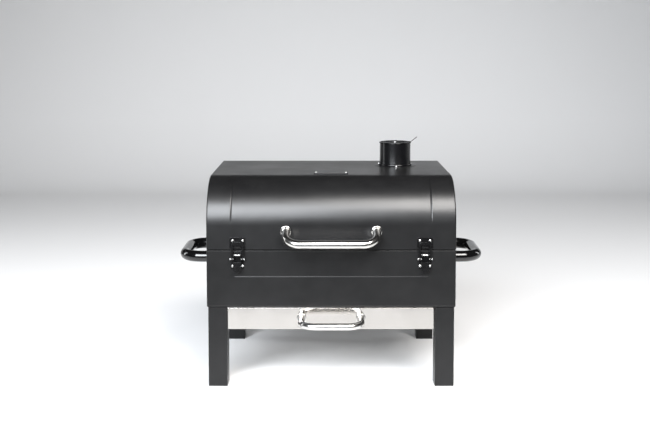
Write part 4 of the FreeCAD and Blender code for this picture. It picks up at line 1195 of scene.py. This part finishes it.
@dataclass
class Fasteners:
    """The rivets of latches and hinges, the latch pins and the hinges themselves."""

    shop: PaintShop
    edge: float = 0.0003

    def build(self) -> None:
        """Set every rivet and clean up the hinges."""
        for node, name, width, body in (("firebox_rivets", "lower_rivets", 0.0, "firebox"),
                                        ("lid_rivets", "upper_rivets", 0.0, "lid"),
                                        ("latch_pins", "latch_pivot_pins", self.edge, "firebox"),
                                        ("hinge_pins", "hinge_pin_rods", self.edge, "firebox")):
            self.shop.recast(node, name, width, Coat.ZINC, body)
        for side, _ in SIDES:
            for part, body in (("lower", "firebox"), ("upper", "lid")):
                node = f"hinge_{part}_leaf_{side}"
                self.shop.recast(node, node + "_plate", self.edge, Coat.BODY, body)


@dataclass
class Grate:
    """One half of the cooking grate: a bent frame and rods that run from front to back."""

    shop: PaintShop
    side: str
    frame_radius: float = 0.003
    rod_radius: float = 0.0022
    corner: float = 0.010
    rods: int = 15

    def build(self) -> None:
        """Bend the frame, lay the rods across it and join them."""
        node = "cooking_grate_" + self.side
        low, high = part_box(node)
        inset = Vector((self.frame_radius, self.frame_radius, 0.0))
        near = low + inset
        far = high - inset
        z = (low.z + high.z) / 2.0
        middle = (near.x + far.x) / 2.0
        points = [Vector((x, y, z)) for x, y in ((middle, near.y), (far.x, near.y), (far.x, far.y),
                                                 (near.x, far.y), (near.x, near.y), (middle, near.y))]
        rim = tube("rim", points, self.corner, self.frame_radius, 16, 6)
        rod = tube("rod", [Vector((0.0, near.y, z)), Vector((0.0, far.y, z))], 0.01, self.rod_radius, 12)
        pitch = (far.x - near.x) / (self.rods + 1.0)
        bars = [twin(rod, "rod", ACROSS * (near.x + pitch * (step + 1.0))) for step in range(self.rods)]
        bpy.data.objects.remove(rod)
        grate = joined("grill_grate_" + self.side, [rim, *bars])
        self.shop.dress(grate, Coat.WIRE, "grate_" + self.side, node)


# ---------------------------------------------------------------- studio
@dataclass
class SoftBox:
    """One rectangular studio light."""

    name: str
    place: Vector
    aim: Vector
    size: tuple[float, float]
    power: float
    colour: Colour
    spread: float

    def build(self) -> None:
        """Hang the light and turn it to what it lights."""
        data = bpy.data.lights.new(self.name, "AREA")
        data.shape = "RECTANGLE"
        data.size, data.size_y = self.size
        data.energy = self.power
        data.color = self.colour
        data.spread = math.radians(self.spread)
        lamp = bpy.data.objects.new(self.name, data)
        lamp.location = self.place
        lamp.rotation_euler = (self.aim - self.place).to_track_quat("-Z", "Y").to_euler()
        lamp.visible_camera = False
        bpy.context.scene.collection.objects.link(lamp)


@dataclass
class Studio:
    """A pale sweep of floor and wall, soft lights and the camera."""

    front_distance: float = 2.370
    eye_height: float = 0.829
    side_step: float = -0.0114
    pitch: float = 4.08
    lens: float = 55.38
    shift: tuple[float, float] = (-0.0023, -0.157)
    floor_front: float = -1.0
    half_width: float = 7.0
    sweep_start: float = 2.9
    sweep_radius: float = 1.1
    wall_top: float = 1.75

    def build(self) -> None:
        """Make the camera, the sweep, the lights and the world."""
        self.make_camera()
        self.make_sweep()
        self.make_lights()
        self.make_world()

    def make_camera(self) -> None:
        """Stand the camera in front of the firebox."""
        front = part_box("firebox_wrap")[0].y
        data = bpy.data.cameras.new("studio_camera")
        data.lens = self.lens
        data.sensor_width = 36.0
        data.shift_x, data.shift_y = self.shift
        camera = bpy.data.objects.new("studio_camera", data)
        camera.location = (self.side_step, front - self.front_distance, self.eye_height)
        camera.rotation_euler = (math.radians(90.0 - self.pitch), 0.0, 0.0)
        bpy.context.scene.collection.objects.link(camera)
        bpy.context.scene.camera = camera

    def make_sweep(self) -> None:
        """Extrude and spin the floor's rear edge into a low curved wall, and paint shade into the paper's
        colour.
        """
        middle = (self.sweep_start + self.floor_front) / 2.0
        bpy.ops.mesh.primitive_plane_add(size=1.0, location=(0.0, middle, 0.0))
        plane = bpy.context.view_layer.objects.active
        plane.scale = (2.0 * self.half_width, self.sweep_start - self.floor_front, 1.0)
        sweep = settle("floor_sweep")
        with editing(sweep, Pick.EDGES) as choose:
            choose(lambda a, b: min(a.y, b.y) > self.sweep_start - 1e-4)
            bpy.ops.mesh.spin(steps=24, angle=-math.radians(90.0),
                              center=(0.0, self.sweep_start, self.sweep_radius), axis=(1.0, 0.0, 0.0))
            rise = (0.0, 0.0, self.wall_top - self.sweep_radius)
            extrude_by(rise)
            face_outwards()
        take(sweep)
        bpy.ops.object.shade_smooth_by_angle(angle=math.radians(30.0))
        material = bpy.data.materials.new("studio_paper_painted_shade")
        material.use_nodes = True
        shader = material.node_tree.nodes["Principled BSDF"]
        sheet = NodeSheet(material.node_tree)
        place = sheet.add("ShaderNodeTexCoord")
        split = sheet.add("ShaderNodeSeparateXYZ")
        # Painted shade: the paper is painted darker in front of the grill, from 0.80 at y = -0.43 down to
        # 0.40 at y = -0.6 and beyond, so the floor seen in reflections looks dimmer.
        front = sheet.add("ShaderNodeMapRange",
                          {"From Min": -0.6, "From Max": -0.43, "To Min": 0.40, "To Max": 0.80})
        # Painted shade: the wall is painted darker towards its top, from 1.0 at 0.35 m down to 0.87 at 1.1 m
        # high.
        height = sheet.add("ShaderNodeMapRange",
                           {"From Min": 0.35, "From Max": 1.1, "To Min": 1.0, "To Max": 0.87})
        # The two painted-shade tones are multiplied into the paper's base colour.
        painted_shade_tone = sheet.add("ShaderNodeMath", operation="MULTIPLY")
        sheet.wire((place, "Object", split, 0), (split, "Y", front, "Value"), (split, "Z", height, "Value"),
                   (front, "Result", painted_shade_tone, 0), (height, "Result", painted_shade_tone, 1), (painted_shade_tone, 0, shader, "Base Color"))
        shader.inputs["Roughness"].default_value = 0.75
        shader.inputs["Specular IOR Level"].default_value = 0.2
        sweep.data.materials.append(material)

    def make_lights(self) -> None:
        """Hang the two front boxes and the side strips."""
        aim = Vector((0.0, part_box("lid_skin")[0].y, 0.55))
        for name, place, size, power, colour, spread in (
            ("front_left_box", (-1.05, -2.75, 1.9), (2.1, 1.95), 104.0, (0.92, 0.955, 1.0), 110.0),
            ("front_right_box", (0.95, -2.05, 2.5), (1.8, 1.55), 66.0, (1.0, 0.975, 0.95), 110.0),
            ("side_left_strip", (-3.0, 0.6, 1.2), (0.5, 1.8), 22.0, (0.97, 0.985, 1.0), 180.0),
            ("side_right_strip", (3.0, 1.2, 1.2), (0.5, 1.8), 14.0, (1.0, 1.0, 1.0), 180.0),
        ):
            SoftBox(name, Vector(place), aim, size, power, colour, spread).build()

    def make_world(self) -> None:
        """Fill the room softly, with a pale surround where the floor ends."""
        world = bpy.data.worlds.new("studio_room")
        bpy.context.scene.world = world
        world.use_nodes = True
        sheet = NodeSheet(world.node_tree)
        background = world.node_tree.nodes["Background"]
        output = world.node_tree.nodes["World Output"]
        background.inputs["Color"].default_value = (0.9, 0.92, 0.95, 1.0)
        background.inputs["Strength"].default_value = 0.12
        dim = sheet.add("ShaderNodeBackground", {"Color": (0.5, 0.5, 0.52, 1.0), "Strength": 0.03})
        pale = sheet.add("ShaderNodeBackground", {"Color": (0.66, 0.66, 0.66, 1.0), "Strength": 1.0})
        path = sheet.add("ShaderNodeLightPath")
        glossy = sheet.add("ShaderNodeMixShader")
        seen = sheet.add("ShaderNodeMixShader")
        sheet.wire((path, "Is Glossy Ray", glossy, "Fac"), (background, 0, glossy, 1), (dim, 0, glossy, 2),
                   (path, "Is Camera Ray", seen, "Fac"), (glossy, 0, seen, 1), (pale, 0, seen, 2),
                   (seen, 0, output, "Surface"))
        bpy.context.scene.view_settings.view_transform = "Standard"


def main() -> None:
    """Build the studio and then every sub-assembly in order."""
    logging.basicConfig(level=logging.INFO, format="%(name)s: %(message)s")
    Studio().build()
    shop = PaintShop()
    assemblies = [Lid(shop), Firebox(shop), Legs(shop), Drawer(shop), Chimney(shop)]
    assemblies += [DrawLatch(shop, side) for side, _ in SIDES]
    assemblies += [Fasteners(shop)]
    assemblies += [Grate(shop, side) for side, _ in SIDES]
    for assembly in assemblies:
        assembly.build()
        LOG.info("%s done", type(assembly).__name__)


if __name__ == "__main__":
    main()
